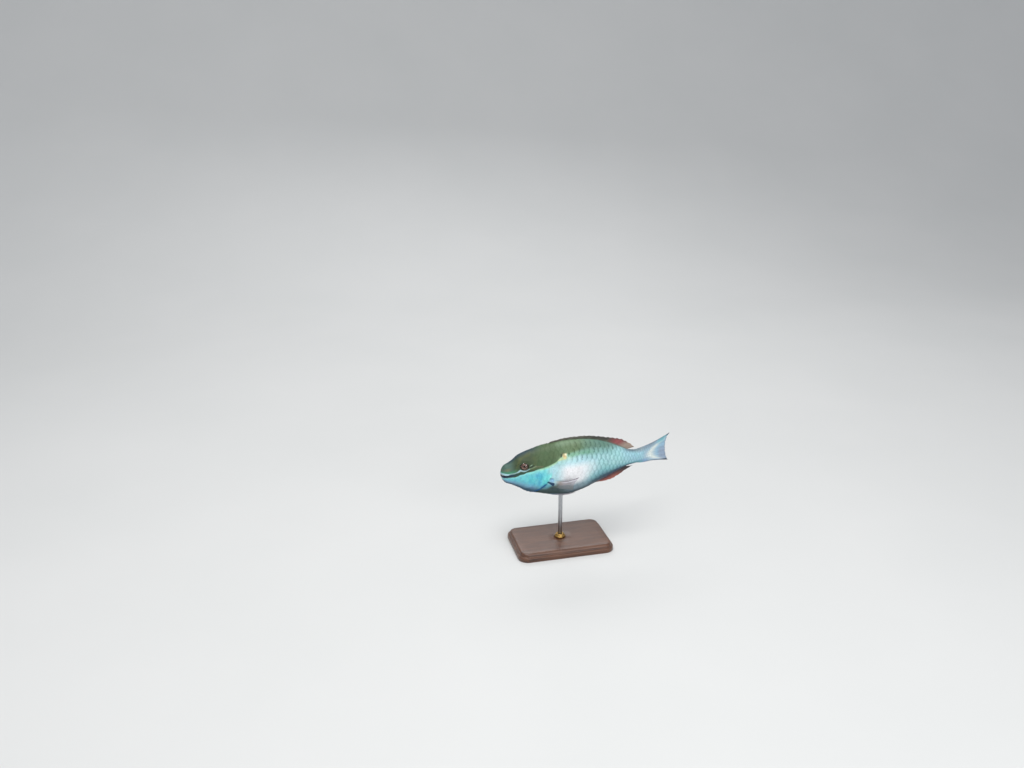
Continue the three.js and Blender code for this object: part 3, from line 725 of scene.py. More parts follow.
def cornea_material():
    g = Graph("cornea")
    return g.shade((1, 1, 1), (g.noise(g.place(), 0.8), 0.0, 0.03), Transmission_Weight=1.0, IOR=1.3)


def beak_material():
    g = Graph("beak")
    teeth = g.attribute("teeth")
    fine = g.noise(g.place(), 2.0, 4)
    colour = g.blend(g.span(fine, 0.3, 0.7), rgb(226, 218, 196), rgb(204, 192, 164))
    colour = g.blend(g.times(teeth, 0.55), colour, rgb(140, 128, 106))
    bumps = g.bump(teeth, 0.5, -0.0001, g.bump(fine, 0.2, 0.0001))
    return g.shade(colour, (fine, 0.25, 0.4), Normal=bumps, Coat_Weight=0.3, Coat_Roughness=0.15)


def wood_material():
    g = Graph("dark_wood")
    at = g.place()
    long = g.stretch(at, (0.05, 0.42, 0.42))
    rings = g.waves(long, 0.55, 7.0, {"Detail": 3.0, "Detail Scale": 0.6}, bands_direction="Y")
    fibre = g.noise(g.stretch(at, (0.12, 3.2, 3.2)), 1.0, 4, 0.7)
    bent = g.noise(long, 0.5, 3, 0.5, 0.6)
    colour = g.blend(rings, rgb(92, 56, 36), rgb(58, 34, 22))
    colour = g.blend(g.span(bent, 0.35, 0.65, 0, 0.55), colour, rgb(112, 70, 44))
    colour = g.blend(g.span(fibre, 0.52, 0.75, 0, 0.7), colour, rgb(34, 20, 14))
    bumps = g.bump(fibre, 0.35, 0.0003)
    return g.shade(colour, (fibre, 0.32, 0.5), Normal=bumps, Coat_Weight=0.35, Coat_Roughness=0.22)


def metal_material(name, low, high, roughness):
    g = Graph(name)
    at = g.place()
    turned = g.noise(g.stretch(at, (0.4, 0.4, 9.0)), 1.0, 4, 0.7)
    colour = g.blend(g.span(turned, 0.35, 0.65), low, high)
    colour = g.blend(g.span(g.noise(at, 0.35, 3), 0.45, 0.7, 0, 0.35), colour, low * 0.8)
    bumps = g.bump(turned, 0.15, 0.00005)
    return g.shade(colour, (turned, roughness - 0.08, roughness + 0.08), Normal=bumps, Metallic=1.0)


# The skin

EYE_POINT = section(EYE_AT * LENGTH, EYE_ANGLE)
EYE_NORMAL = np.cross(
    section(EYE_AT * LENGTH, EYE_ANGLE + 0.05) - section(EYE_AT * LENGTH, EYE_ANGLE - 0.05),
    section(EYE_AT * LENGTH + 1, EYE_ANGLE) - section(EYE_AT * LENGTH - 1, EYE_ANGLE),
)
EYE_NORMAL /= np.linalg.norm(EYE_NORMAL)
EYE_REAR = np.array([1.0, 0, 0]) - EYE_NORMAL[0] * EYE_NORMAL
EYE_REAR /= np.linalg.norm(EYE_REAR)
EYE_UP = np.cross(EYE_REAR, EYE_NORMAL)
EYE_UP *= np.sign(EYE_UP[2])
SNOUT_FRONT = 3.0  # in front of this the colours are level bands


def left_side(p):
    """The same points mirrored onto the left side."""
    x, y, z = np.moveaxis(p, -1, 0)
    return np.stack([x, -np.abs(y), z], -1)


def eye_distance(p):
    """How far a place is from the middle of the eye, in mm along the oval opening's length."""
    d = left_side(p) - EYE_POINT
    return np.hypot(d @ EYE_REAR, (d @ EYE_UP) / EYE_OVAL)


def coat_front(t):
    """Share of the length where the scales begin: behind the snout, brow and chin."""
    ways = [0, 0.6, 1.0, 1.3, 1.5, 1.62, 2.0, 2.3, 2.7, 3.15]
    return np.interp(t, ways, [0.18, 0.19, 0.205, 0.215, 0.2, 0.155, 0.155, 0.19, 0.235, 0.25])


def inset(x):
    """How deep the skin lies under the scales' tips; the coat thins out over the root of the tail fin."""
    return SKIN_DEPTH * (1 - 0.75 * smooth(184, 195, x))


def flap(t):
    """1 down the side where the gill cover has a free edge."""
    return smooth(1.1, 1.3, t)


def gill_step(d, t):
    """How far the gill cover stands out, at d mm in front of its rear edge."""
    return 0.85 * smooth(-0.1, 0.35, d) * (1 - 0.8 * smooth(1.5, 9.0, d)) * flap(t)


def from_fin_root(s, t, at, long, tall):
    """The distance from the pectoral fin's fleshy root, 1 at the given half sizes in mm."""
    return np.hypot((s - at) * LENGTH / long, (t - 2.02) * 25 / tall)


def relief(x, angle, p):
    """How far the skin stands out from the body's plain outline, in mm."""
    s, t = x / LENGTH, from_back(angle)
    qx, qy, qz = np.moveaxis(left_side(p), -1, 0)
    rise = -inset(x) * smooth(-0.012, 0.03, s - coat_front(t))
    # gill cover: a low step with a thin edge, and a groove just behind it
    d = (gill_line(t) - s) * LENGTH
    rise += gill_step(d, t) - 0.4 * flap(t) * hump(d, -0.7, 0.8)
    # edge of the cheek plate in front of it
    cheek = np.interp(t, [1.25, 1.5, 1.9, 2.2, 2.5, 2.8], [0.205, 0.222, 0.222, 0.205, 0.165, 0.12])
    e = (cheek - s) * LENGTH
    rise += band(t, 1.25, 1.45, 2.7, 2.9) * (0.4 * band(e, -0.5, 0.3, 1.0, 6.0) - 0.25 * hump(e, -0.8, 0.6))
    # folds of the throat
    rise += 0.22 * np.sin(e * 1.7) * band(t, 2.45, 2.65, 2.95, 3.1) * hump(s, 0.16, 0.05)
    rise += 0.9 * smooth(1.15, 0.35, from_fin_root(s, t, 0.332, 4.2, 6.2))
    # eye: socket, lid fold and the shallow trough round it
    r = eye_distance(p) - EYE_OPENING
    rise += 0.5 * hump(r, 0.5, 0.45) - 0.25 * hump(r, 1.7, 0.7) + 0.16 * hump(r, 2.7, 0.5)
    rise -= 3.2 * smooth(0.12, -0.25, r)
    # brow ridge over the eye and hollow before it
    rise += 0.45 * hump(qx, 27, 7) * hump(qz, 15.0, 2.0) * smooth(-3, -6, qy)
    rise -= 0.4 * hump(qx, 17.5, 3.5) * hump(qz, 5.5, 3.0) * smooth(1, 3, -qy)
    # nostrils, the front one with a raised rim
    for at_x, at_z, wide, tall, lip in ((19.2, 11.2, 0.55, 0.42, 0.2), (17.0, 10.2, 0.34, 0.34, 0.4)):
        n = np.hypot((qx - at_x) / wide, (qz - at_z) / tall) + 9 * (qy > -2)
        rise += lip * hump(n, 1.8, 0.65) - 0.9 * smooth(1.5, 0.5, n)
    # lips, with a crease behind each and a fold at the corner of the mouth
    z = qz - MOUTH_HEIGHT - MOUTH_SLOPE * qx
    near = smooth(14.5, 9.0, qx) * lerp(0.6, 1.0, smooth(0.3, 4.0, qx))
    rise += near * (0.5 * hump(z, 1.4, 0.8) + 0.5 * hump(z, -1.5, 0.9))
    rise -= near * (0.28 * hump(z, 3.2, 0.7) + 0.25 * hump(z, -3.6, 0.8))
    return rise - 0.4 * hump(qx - 0.35 * z, 13.4, 0.7) * hump(z, -0.6, 2.8)


def mouth_pull(p):
    """How deep the cleft of the mouth draws the skin in, in mm."""
    x = p[..., 0]
    z = p[..., 2] - MOUTH_HEIGHT - MOUTH_SLOPE * x
    gape = 0.62 * np.sqrt(np.clip(1 - (x / MOUTH_DEPTH) ** 2, 0, 1))
    inside = smooth(gape + 0.25, gape - 0.15, np.abs(z)) * (x < MOUTH_DEPTH)
    return inside * np.interp(x, [0, 6, MOUTH_DEPTH], [4.2, 3.0, 0.6])


def build_skin():
    nose = NOSE * (1 - np.cos(np.linspace(0.015, math.pi / 2, 36)))
    xs = np.concatenate([nose, np.arange(7.25, 60, 0.27), np.arange(60.9, FLESH_END, 1.2)])
    columns = 288
    w = np.arange(columns) / (columns / 2)
    share = w + 0.3 * np.sin(2 * math.pi * w) / (2 * math.pi)  # closest together along the flanks
    x, f = np.meshgrid(xs, share, indexing="ij")
    angle = angle_at(x, f)
    p = section(x, angle)
    pull = mouth_pull(p)
    placed = posed(over(x, angle, relief(x, angle, p) - pull))
    rows = len(xs)
    quads, ij = grid(rows, columns, wrap=True)
    uv = ij / [rows - 1, columns] * 0.98 + 0.01
    tip, last_row = rows * columns, (rows - 1) * columns
    points = np.concatenate([placed.reshape(-1, 3), [placed[0].mean(0), pose(FLESH_END, 0, 0)]])
    caps = [fan(tip, 0, columns), fan(tip + 1, last_row, columns, flip=True)]
    j = np.arange(columns)
    ends = ((0.005, [j + 0.5, j + 1, j]), (0.995, [j + 0.5, j, j + 1]))
    cap_uv = [np.stack([np.full((columns, 3), u), np.stack(v, 1) / columns], -1) for u, v in ends]
    level = np.linspace(0, math.pi, 400)
    level_z = section(SNOUT_FRONT, level)[..., 2]
    round_snout = np.where(x < SNOUT_FRONT, np.interp(-p[..., 2], -level_z, level), angle)
    paint = coats(
        body_paint(np.maximum(x, SNOUT_FRONT), round_snout),
        (rgb(64, 40, 44), pull / 1.2),
        # dark rim round the eye: the lid's own dark edge, and painted shade where the skin turns into the
        # socket
        (rgb(42, 50, 40), smooth(0.5, 0, eye_distance(p) - EYE_OPENING) * 0.8),
    ).reshape(-1, 3)
    paint = np.concatenate([paint, paint[:1], paint[-1:]])
    made = make_object("skin", points, [quads, *caps], skin_material(), {"paint": paint}, [uv, *cap_uv])
    ride(made, "skin", "head", "trunk", "tail_stalk")


# Scales

SCALES = scale_material()
spacing = curve([
    [0.0, 4.4], [0.2, 5.2], [0.3, 5.9], [0.42, 6.4], [0.6, 6.1], [0.75, 5.2], [0.88, 4.2], [1.0, 3.7],
    [1.1, 3.2],
])
row_count = curve([
    [0.0, 8.0], [0.2, 8.8], [0.3, 9.6], [0.42, 10], [0.56, 10], [0.7, 8.6], [0.85, 6.4], [0.93, 6], [1.1, 6],
])
FINE_X = np.linspace(0, 200, 2001)
COLUMN_OF = totals(0.1 / spacing((FINE_X[:-1] + 0.05) / LENGTH))
LAST_COLUMN, FIRST_TUBE = np.interp([191.6, 0.3 * LENGTH], FINE_X, COLUMN_OF)
LINE_ROW = 3.0  # the row of the side line, down from the back
ROOT_SHARE = 0.42  # how much of a scale lies in front of its place
LONG = 1.78  # a scale's length as a share of the spacing of the columns
COVER_TOP = 1.16  # from this far round on, the scales make room for the gill cover's edge


def scale_places():
    """Column, row and side of every scale, and how much of its length behind its place is kept."""
    found = []
    for row in range(12):
        for step in range(int(LAST_COLUMN) + 2):
            column = step + 0.5 * (row % 2)
            x = np.interp(column, COLUMN_OF, FINE_X)
            s, count = x / LENGTH, row_count(x / LENGTH)
            under_dorsal = row == 0 and 0.285 < s < 0.90
            over_anal = 0.56 < s < 0.87 and row > count - 0.62
            if column > LAST_COLUMN - 0.3 or row > count - 0.5 or under_dorsal or over_anal:
                continue
            keep = scale_fits(s, angle_at(x, row / count), spacing(s))
            if keep:
                found += [(column, row, side, keep) for side in ((1, -1) if row else (1,))]
    for column in np.arange(int(LAST_COLUMN) + 2) + 0.25:
        s = np.interp(column, COLUMN_OF, FINE_X) / LENGTH
        if (0.29 < s < 0.565 or s > 0.865) and column < LAST_COLUMN - 0.3:
            found.append((column, row_count(s), 1, 1.0))
    return found


def scale_fits(s, t, pitch):
    """0 where no scale sits, or the share of its rear part that fits in front of the gill cover's edge."""
    near_eye = eye_distance(section(s * LENGTH + 2.5, t)) < EYE_OPENING + 4.4
    if s < coat_front(t) or near_eye or from_fin_root(s, t, 0.338, 5.0, 6.8) < 1:
        return 0
    if t > COVER_TOP:
        d = (gill_line(t) - s) * LENGTH
        if -0.8 < d < 3.4:
            return 0
        if d > 0:
            return min(1.0, (d - 1.5) / ((1 - ROOT_SHARE) * LONG * pitch))
    return 1.0


def edge_strength(s, t):
    """How clearly the edges of the scales are drawn in a darker tone."""
    d = t - border_line(s)
    amount = np.interp(s, [0.15, 0.3, 0.5, 0.62, 0.9, 1.0], [0.12, 0.2, 0.35, 0.62, 0.5, 0.4])
    amount = lerp(amount, 0.06, band(s, 0.33, 0.4, 0.5, 0.64) * smooth(0.05, 0.35, d) * smooth(2.3, 2.0, t))
    return lerp(amount, 0.3, smooth(0.15, -0.15, d) * smooth(0.85, 0.7, s))


def fleck_strength(s, t):
    """How strongly the free edges are flecked with dark: along the rear half of the back's lower border."""
    border = band(s, 0.42, 0.47, 0.76, 0.86) * band(t - border_line(s), -0.6, -0.25, 0.2, 0.5)
    rear = band(s, 0.55, 0.66, 0.86, 0.97) * smooth(2.2, 1.9, t) * 0.32
    low = hump(t, 2.05, 0.28) * band(s, 0.56, 0.66, 0.8, 0.9) * 0.6
    return np.maximum(np.maximum(border, rear), low)


def build_scales(name, places, rows, columns, tubes):
    """Closed thin plates, each rising from under the one in front of it to a free rear edge."""
    column, row, side, keep = np.array(places, float).T
    n = len(column)
    x0 = np.interp(column, COLUMN_OF, FINE_X)
    count0 = row_count(x0 / LENGTH)
    own = rng.random(n)
    lean = rng.normal(0, 0.012, n)
    size = rng.normal(1, 0.025, n)

    def each(values):
        return np.asarray(values)[:, None, None]

    # one scale's own places: A from its root to its free edge, B across it, its underside as the last three
    # columns
    a = np.concatenate([np.linspace(0, 0.95, rows - 2), [0.985, 1.0]])
    b = np.concatenate([[-1], np.linspace(-0.965, 0.965, columns - 2), [1], [0.6, 0.0, -0.6]])
    A, B = np.meshgrid(a, b, indexing="ij")
    top = np.broadcast_to(np.arange(len(b)) < columns, A.shape).astype(float)
    half = 0.80 * (0.70 + 0.30 * np.sin(np.pi * np.clip(A * 0.62 + 0.08, 0, 1)))
    rim = np.maximum(A**3.2, (np.abs(B) ** 7) * smooth(0.3, 0.6, A))

    length = each(LONG * spacing(x0 / LENGTH) * size)
    behind = A * (1 - 0.30 * np.abs(B) ** 2.3 * A**0.6) - ROOT_SHARE
    behind = np.where(behind > 0, behind * each(keep), behind)
    wave = 0.012 * np.sin(B * 9 + each(own) * 40) * A**4
    x = np.clip(each(x0) + (behind + wave) * length, 0.3, FLESH_END - 0.5)
    counts = row_count(x / LENGTH)
    # the last regular row reaches down to the row along the middle of the belly
    middle = row >= count0 - 0.01
    below = count0 - row
    stretch = np.clip(np.where(below < 1.5, below, 1.0), 1, 1.5)
    last = count0 - np.floor(count0 - 0.5)
    wide = np.where(B > 0, each(stretch), 1.0)
    width = half * np.where(each(middle), each(np.clip(1.55 * last, 1.0, 1.4)), wide)
    across = B * width + each(lean) * (A - 0.3) * 4
    angle = angle_at(x, (np.where(each(middle), counts, each(row)) + across) / counts)
    t = from_back(angle)
    t0 = angle_at(x0, np.clip(row / count0, 0, 1))

    # height over the body's outline: deep at the root, just above the outline at the free edge
    bedded = lerp(0.75, 1.0, smooth(0.0, 0.05, x0 / LENGTH - coat_front(t0)))
    lift = -inset(x) - 0.14 + (inset(x) + 0.20) * A**0.85 * each(bedded) + 0.05 * (1 - B**2) * A
    lift -= 0.16 * B**2 * (1 - A) ** 1.5
    lift -= 1.2 * each(1 - bedded) * B**2  # at the front of the coat the sides stay in the skin
    on_cover = (gill_line(t0) * LENGTH > x0) & (t0 > COVER_TOP)
    lift += each(on_cover) * gill_step((gill_line(t) - x / LENGTH) * LENGTH, t)
    tube = 0.0
    if tubes:
        stem = hump(B, 0.0, 0.055) * band(A, 0.42, 0.46, 0.86, 0.92)
        branch = hump(np.abs(B) - (A - 0.58) * 0.9, 0.0, 0.045) * band(A, 0.58, 0.62, 0.80, 0.86)
        tube = 0.16 * np.maximum(stem, branch) * top
    edge = np.clip(np.minimum((1 - np.abs(B)) / 0.035, (1 - A) / 0.016), 0, 1)
    thick = SCALE_THICK * (0.25 + 0.75 * edge) * (1 - 0.35 * A)
    height = lift + (each(own) - 0.5) * 0.03 + tube - (1 - top) * thick - top * (1 - edge) * 0.03
    placed = posed(over(x, angle, height), each(side))

    # behind the gill cover the colours change from scale to scale: they are read partly at its middle
    centre_x = x0 + (0.62 - ROOT_SHARE) * length[:, 0, 0]
    centre_s = centre_x / LENGTH
    centre_t = angle_at(centre_x, np.clip(row / row_count(centre_s), 0, 1))
    own_share = 0.12 * smooth(0.44, 0.52, x / LENGTH)
    values = {
        "rim": rim,
        "along": A,
        "across": B,
        "own": each(own),
        "shown": each(edge_strength(centre_s, centre_t) * lerp(0.4, 1.0, bedded)),
        "flecked": each(fleck_strength(centre_s, centre_t)),
    }
    attributes = {key: np.broadcast_to(value, x.shape) for key, value in values.items()}
    attributes["paint"] = body_paint(lerp(x, each(centre_x), own_share), lerp(t, each(centre_t), own_share))

    ring = len(b)
    quads, ij = grid(rows, ring, wrap=True)
    cap = scale_cap(ring, columns)
    caps = np.concatenate([cap[:, ::-1], cap + (rows - 1) * ring])
    first, turned = each(np.arange(n) * rows * ring), each(side < 0)
    all_quads, all_caps = (
        (np.where(turned, f[:, ::-1], f) + first).reshape(-1, f.shape[1]) for f in (quads, caps)
    )
    # undersides come first, so that the tops are baked over them on the unwrapped side
    under = np.tile(ij[:, :, 1].min(1) >= columns - 1, n)
    all_quads = all_quads[np.argsort(~under, kind="stable")]
    patch_u = each(column / LAST_COLUMN) + (A - 0.5) * 2 * 0.46 / LAST_COLUMN
    patch_v = each((row + 0.5 * middle) / count0) + B * 0.42 / each(count0)
    uv = np.stack([patch_u * 0.93 + 0.035, (patch_v + 0.08) * 0.78 + 0.01], -1).reshape(-1, 2)
    faces = [all_caps, all_quads]
    ride(make_object(name, placed, faces, SCALES, attributes, [uv[f] for f in faces]), "skin")


def scale_cap(ring, columns):
    """Triangles between the top and the underside at one end of a scale."""
    lower = [0, ring - 1, ring - 2, ring - 3, columns - 1]
    ends = [-1.0, -0.6, 0.0, 0.6, 1.0]
    faces = []
    j = 0
    for i in range(columns - 1):
        faces.append((i, i + 1, lower[j]))
        reached = -1 + 2 * (i + 1) / (columns - 1)
        while j < 4 and reached >= (ends[j] + ends[j + 1]) / 2:
            faces.append((i + 1, lower[j + 1], lower[j]))
            j += 1
    return np.array([f for f in faces if len(set(f)) == 3])


# Fins


def between_rays(u, rays):
    """0 on the rays and 1 half way between them."""
    return 0.5 - 0.5 * np.cos(2 * np.pi * u * (rays - 1))


def ray_pattern(u, v, rays, spread, splits):
    """1 on a fin ray and 0 between rays. splits are the shares of the length where every ray forks."""
    q = u * (rays - 1)
    d = q - np.round(q)
    for level, at in enumerate(splits):
        d = np.abs(d) - smooth(at, at + 0.22, v) * 0.25 / (level + 1)
    return hump(np.abs(d) * spread, 0, 0.3)


def build_fin(name, slot, replaced, shape, size, rays, splits, material, paint, thick, membrane=0.22):
    """A closed sheet with raised rays. shape(u, v) gives the middle of the sheet as posed points."""
    nu, nv = size
    u, v = np.meshgrid(np.linspace(0, 1, nu), np.linspace(0, 1, nv), indexing="ij")
    mid = shape(u, v)
    du, dv = np.gradient(mid, axis=(0, 1))
    n = np.cross(du, dv)
    n /= np.maximum(np.linalg.norm(n, axis=-1, keepdims=True), 1e-9)
    ray = ray_pattern(u, v, rays, np.linalg.norm(du, axis=-1) * (nu - 1) / (rays - 1), splits)
    t = membrane * lerp(1.2, 0.75, v) + ray * lerp(thick[0], thick[1], v**0.8)
    edge = np.minimum(np.minimum(u, 1 - u) * (nu - 1), (1 - v) * (nv - 1))
    half = (t * lerp(0.25, 1.0, smooth(0, 2.5, edge)) / 2)[..., None]
    out = totals(np.linalg.norm(np.diff(mid, axis=1), axis=-1))
    front, _ = grid(nu, nv, flip=True)
    rear, _ = grid(nu, nv, start=nu * nv)
    place = np.arange(nu * nv).reshape(nu, nv)
    loop = np.concatenate([place[:, 0], place[-1, 1:], place[-2::-1, -1], place[0, -2:0:-1]])
    after = np.roll(loop, -1)
    rim = np.stack([loop, loop + nu * nv, after + nu * nv, after], 1)
    values = {"paint": paint(u, v), "ray": ray, "out": out}
    attributes = {key: np.concatenate([value, value]) for key, value in values.items()}
    points = np.concatenate([mid + n * half, mid - n * half])
    ride(make_object(name, points, [front, rear, rim], material, attributes), slot, replaced)


SUNK = 2.6  # how deep the dorsal and the anal fin are rooted
# Where these two start and end on the body, and at their free edge
DORSAL = ((0.315, 0.865), (0.335, 0.94))
ANAL = ((0.59, 0.84), (0.62, 0.935))
dorsal_height = curve([
    [0.33, 1.2], [0.42, 2.2], [0.5, 2.8], [0.6, 3.8], [0.7, 5.0], [0.76, 6.8], [0.81, 9.0], [0.85, 10.0],
    [0.887, 9.0], [0.925, 5.4], [0.94, 3.2],
])
anal_height = curve([
    [0.62, 0.8], [0.66, 1.5], [0.7, 4.2], [0.75, 7.0], [0.79, 8.1], [0.85, 6.9], [0.89, 5.2], [0.935, 2.8],
])


def median_fin(ends, height, outline, up, rays, ripple, notch):
    """The shape of a fin along the back (up 1) or the belly (up -1)."""

    def shape(u, v):
        foot, tip = (lerp(start, end, u) * LENGTH for start, end in ends)
        tip_z = outline(tip) + height(tip / LENGTH) * (1 - notch * between_rays(u, rays))
        z = lerp(outline(foot) - SUNK, tip_z, v) + 0.35 * np.sin(np.pi * v)
        y = ripple * np.sin(np.pi * u * (rays - 1)) * v + 0.35 * np.sin(u * 9) * v * v
        return pose(lerp(foot, tip, v), y, up * z)

    return shape


def dorsal_paint(u, v):
    front = mix(rgb(76, 84, 66), rgb(84, 82, 72), smooth(0.3, 0.7, v))
    front = mix(front, rgb(52, 52, 46), smooth(0.4, 0.55, u) * smooth(0.3, 0.6, v) * 0.85)
    red = mix(rgb(136, 66, 66), rgb(150, 132, 118), smooth(0.84, 0.93, u))
    return coats(
        mix(front, red, smooth(0.72, 0.84, u + 0.05 * v)),
        (rgb(112, 120, 108), smooth(0.4, 0.12, v) * 0.85),
        (rgb(60, 46, 44), smooth(0.8, 0.88, v) * band(u, 0.68, 0.76, 0.88, 0.95) * 0.5),
        (rgb(196, 178, 164), smooth(0.93, 0.985, v) * smooth(0.8, 0.92, u) * 0.6),
    )


def anal_paint(u, v):
    return coats(
        mix(rgb(84, 42, 50), rgb(160, 86, 72), smooth(0.35, 0.85, v)),
        (rgb(92, 84, 80), smooth(0.3, 0.15, u) * smooth(0.4, 0.7, v) * 0.6),
        (rgb(78, 50, 46), smooth(0.58, 0.8, u) * 0.8),
        (rgb(42, 38, 44), smooth(0.72, 0.88, u) * 0.85),
        (rgb(38, 46, 66), smooth(0.4, 0.1, v) * 0.7),
        (rgb(150, 116, 98), smooth(0.95, 0.99, v) * smooth(0.8, 0.6, u) * 0.3),
    )


TAIL_RAYS = 13
TAIL_FOOT = STALK_END - 6.0


def tail_shape(u, v):
    w = 2 * u - 1
    tip = STALK_END + tail_reach(w) - 0.6 * between_rays(u, TAIL_RAYS)
    z = lerp(w * 10.0, w * 18.4, v**1.35) - 0.5 * v
    y = 0.34 * np.sin(np.pi * u * (TAIL_RAYS - 1)) * smooth(0.15, 1.0, v) + 0.5 * np.sin(w * 3.1) * v**2
    return pose(lerp(TAIL_FOOT, tip, v), y, z)


def tail_paint(u, v):
    w = 2 * u - 1
    black = rgb(22, 40, 56)
    upper = smooth(0.88, 0.97, w + 0.3 * (v - 0.9)) * smooth(0.8, 0.94, v)
    lower = smooth(0.80, 0.93, 0.3 * (v - 0.9) - w) * smooth(0.72, 0.86, v)
    return coats(
        tail_colour(lerp(TAIL_FOOT, STALK_END + tail_reach(w), v) / LENGTH, w),
        (rgb(140, 156, 172), smooth(0.92, 0.98, v) * 0.6),
        (rgb(88, 104, 118), smooth(0.86, 0.97, np.abs(w)) * smooth(1.0, 0.7, v) * 0.75),
        (black, upper * 0.95),
        (black, lower * 0.95),
    )


# Where each paired fin grows, the angles it spans, its length, shortening, fan and sag.
PECTORAL = (0.325, (1.86, 2.18), 31.6, (0.8, 3.5), (0.125, 0.02), 1.8)
PELVIC = (0.335, (2.7, 2.9), 31, (0.6, 1.2), (0.03, -0.08), 0)
FLANK_RADIUS = 27.0  # mm round the body per radian where they lie


def fin_place(fin, u, v, shrink=1.0):
    """Where a paired fin's sheet lies along and round the body."""
    at, angles, length, shorten, spread, sag = fin
    direction = lerp(*spread, u)
    reach = length * lerp(shorten[0], 1, (1 - u) ** shorten[1]) * shrink
    x = at * LENGTH - 1.0 + v * (reach * np.cos(direction) + 1.0)
    hang = sag * (1 - u) * np.sin(np.pi * v) ** 2
    return x, lerp(*angles, u) + (hang - v * reach * np.sin(direction)) / FLANK_RADIUS


def paired_fin(fin, lift, rise, side, rays, notch):
    """The shape of a pectoral or a pelvic fin."""

    def shape(u, v):
        x, angle = fin_place(fin, u, v, 1 - notch * between_rays(u, rays))
        stand = lerp(-1.2, lift, v**rise) + 0.2 * np.sin(np.pi * u * (rays - 1)) * v
        return posed(over(x, angle, stand), side)

    return shape


def pectoral_paint(u, v):
    c = coats(
        # greyer and darker toward the lower rays: partly the fin's own tone, partly painted shade
        mix(rgb(168, 168, 176), rgb(122, 128, 132), smooth(0.25, 0.6, u)),
        (rgb(106, 114, 118), smooth(0.7, 0.95, u) * 0.8),
        (rgb(186, 182, 190), smooth(0.82, 1.0, v) * smooth(0.75, 0.35, u) * 0.6),
        (rgb(150, 134, 122), hump(v, 0.4, 0.12) * smooth(0.6, 0.35, u) * 0.6),
        (rgb(148, 136, 134), hump(u, 0.3, 0.09) * band(v, 0.3, 0.45, 0.75, 0.95) * 0.55),
        (rgb(64, 80, 64), smooth(0.46, 0.22, v) * smooth(0.15, 0.45, u) * 0.95),
        (rgb(184, 184, 172), smooth(0.45, 0.2, v) * smooth(0.35, 0.12, u) * 0.9),
        # painted highlight: a white line along the fin just under its upper ray
        (rgb(236, 234, 240), hump(u, 0.12, 0.045) * smooth(0.35, 0.5, v) * 0.85),
        (rgb(112, 98, 110), hump(u, 0.0, 0.05) * smooth(0.25, 0.5, v) * 0.9),
    )
    return mix(body_paint(*fin_place(PECTORAL, u, v)), c, smooth(0.14, 0.36, v))


def pelvic_paint(u, v):
    return mix(mix(rgb(112, 124, 138), rgb(158, 150, 156), v), rgb(88, 116, 138), smooth(0.4, 0.1, v) * 0.8)


def build_fins():
    fin, sheer = fin_material("fin"), fin_material("pectoral_web", alpha=0.82)
    dorsal = median_fin(DORSAL, dorsal_height, back, 1, 19, 0.28, 0.09)
    anal = median_fin(ANAL, anal_height, belly, -1, 12, 0.25, 0.07)
    folded = (0.95, 0.35)
    for word, shape, size, rays, splits, paint, thick in (
        ("dorsal_fin", dorsal, (361, 44), 19, (0.62,), dorsal_paint, folded),
        ("anal_fin", anal, (221, 44), 12, (0.6,), anal_paint, folded),
        ("tail_fin", tail_shape, (313, 120), TAIL_RAYS, (0.3, 0.58), tail_paint, (1.1, 0.28)),
    ):
        build_fin(word + "_rays", word, word, shape, size, rays, splits, fin, paint, thick)
    for word, side in SIDES:
        build_fin(
            "pectoral_rays_" + word, "pectoral_fin", "pectoral_fin_" + word,
            paired_fin(PECTORAL, 6.5, 1.0, side, 12, 0.03),
            (222, 70), 12, (0.45, 0.72), sheer, pectoral_paint, (0.75, 0.24), 0.18,
        )
        build_fin(
            "pelvic_rays_" + word, "pelvic_fin", "pelvic_fin_" + word,
            paired_fin(PELVIC, 1.1, 0.35, side, 6, 0.05),
            (120, 60), 6, (0.4, 0.7), fin, pelvic_paint, (0.85, 0.28), 0.2,
        )


# Eyes

IRIS, CORNEA = eye_material(), cornea_material()
PUPIL = 1.58


def eye_shell(name, radii, heights, side, material):
    """A solid turned round the eye's axis, from its outer pole to its inner one."""
    rows, turns = len(radii), 96
    angle = np.arange(turns) / turns * 2 * math.pi
    r, h = radii[:, None, None], heights[:, None, None]
    c, s = np.cos(angle)[:, None], np.sin(angle)[:, None]
    placed = posed(EYE_POINT + r * c * EYE_REAR + r * s * EYE_UP + h * EYE_NORMAL, side)
    quads, _ = grid(rows, turns, wrap=True, flip=side > 0)
    tip = rows * turns
    faces = [quads, fan(tip, 0, turns, side > 0), fan(tip + 1, tip - turns, turns, side < 0)]
    points = np.concatenate([placed.reshape(-1, 3), [placed[0].mean(0), placed[-1].mean(0)]])
    attributes = {
        "radius": np.append(np.repeat(radii, turns), [0, 0]),
        "turn": np.append(np.tile(np.abs(angle - math.pi), rows), [0, 0]),
    }
    return make_object(name, points, faces, material, attributes)


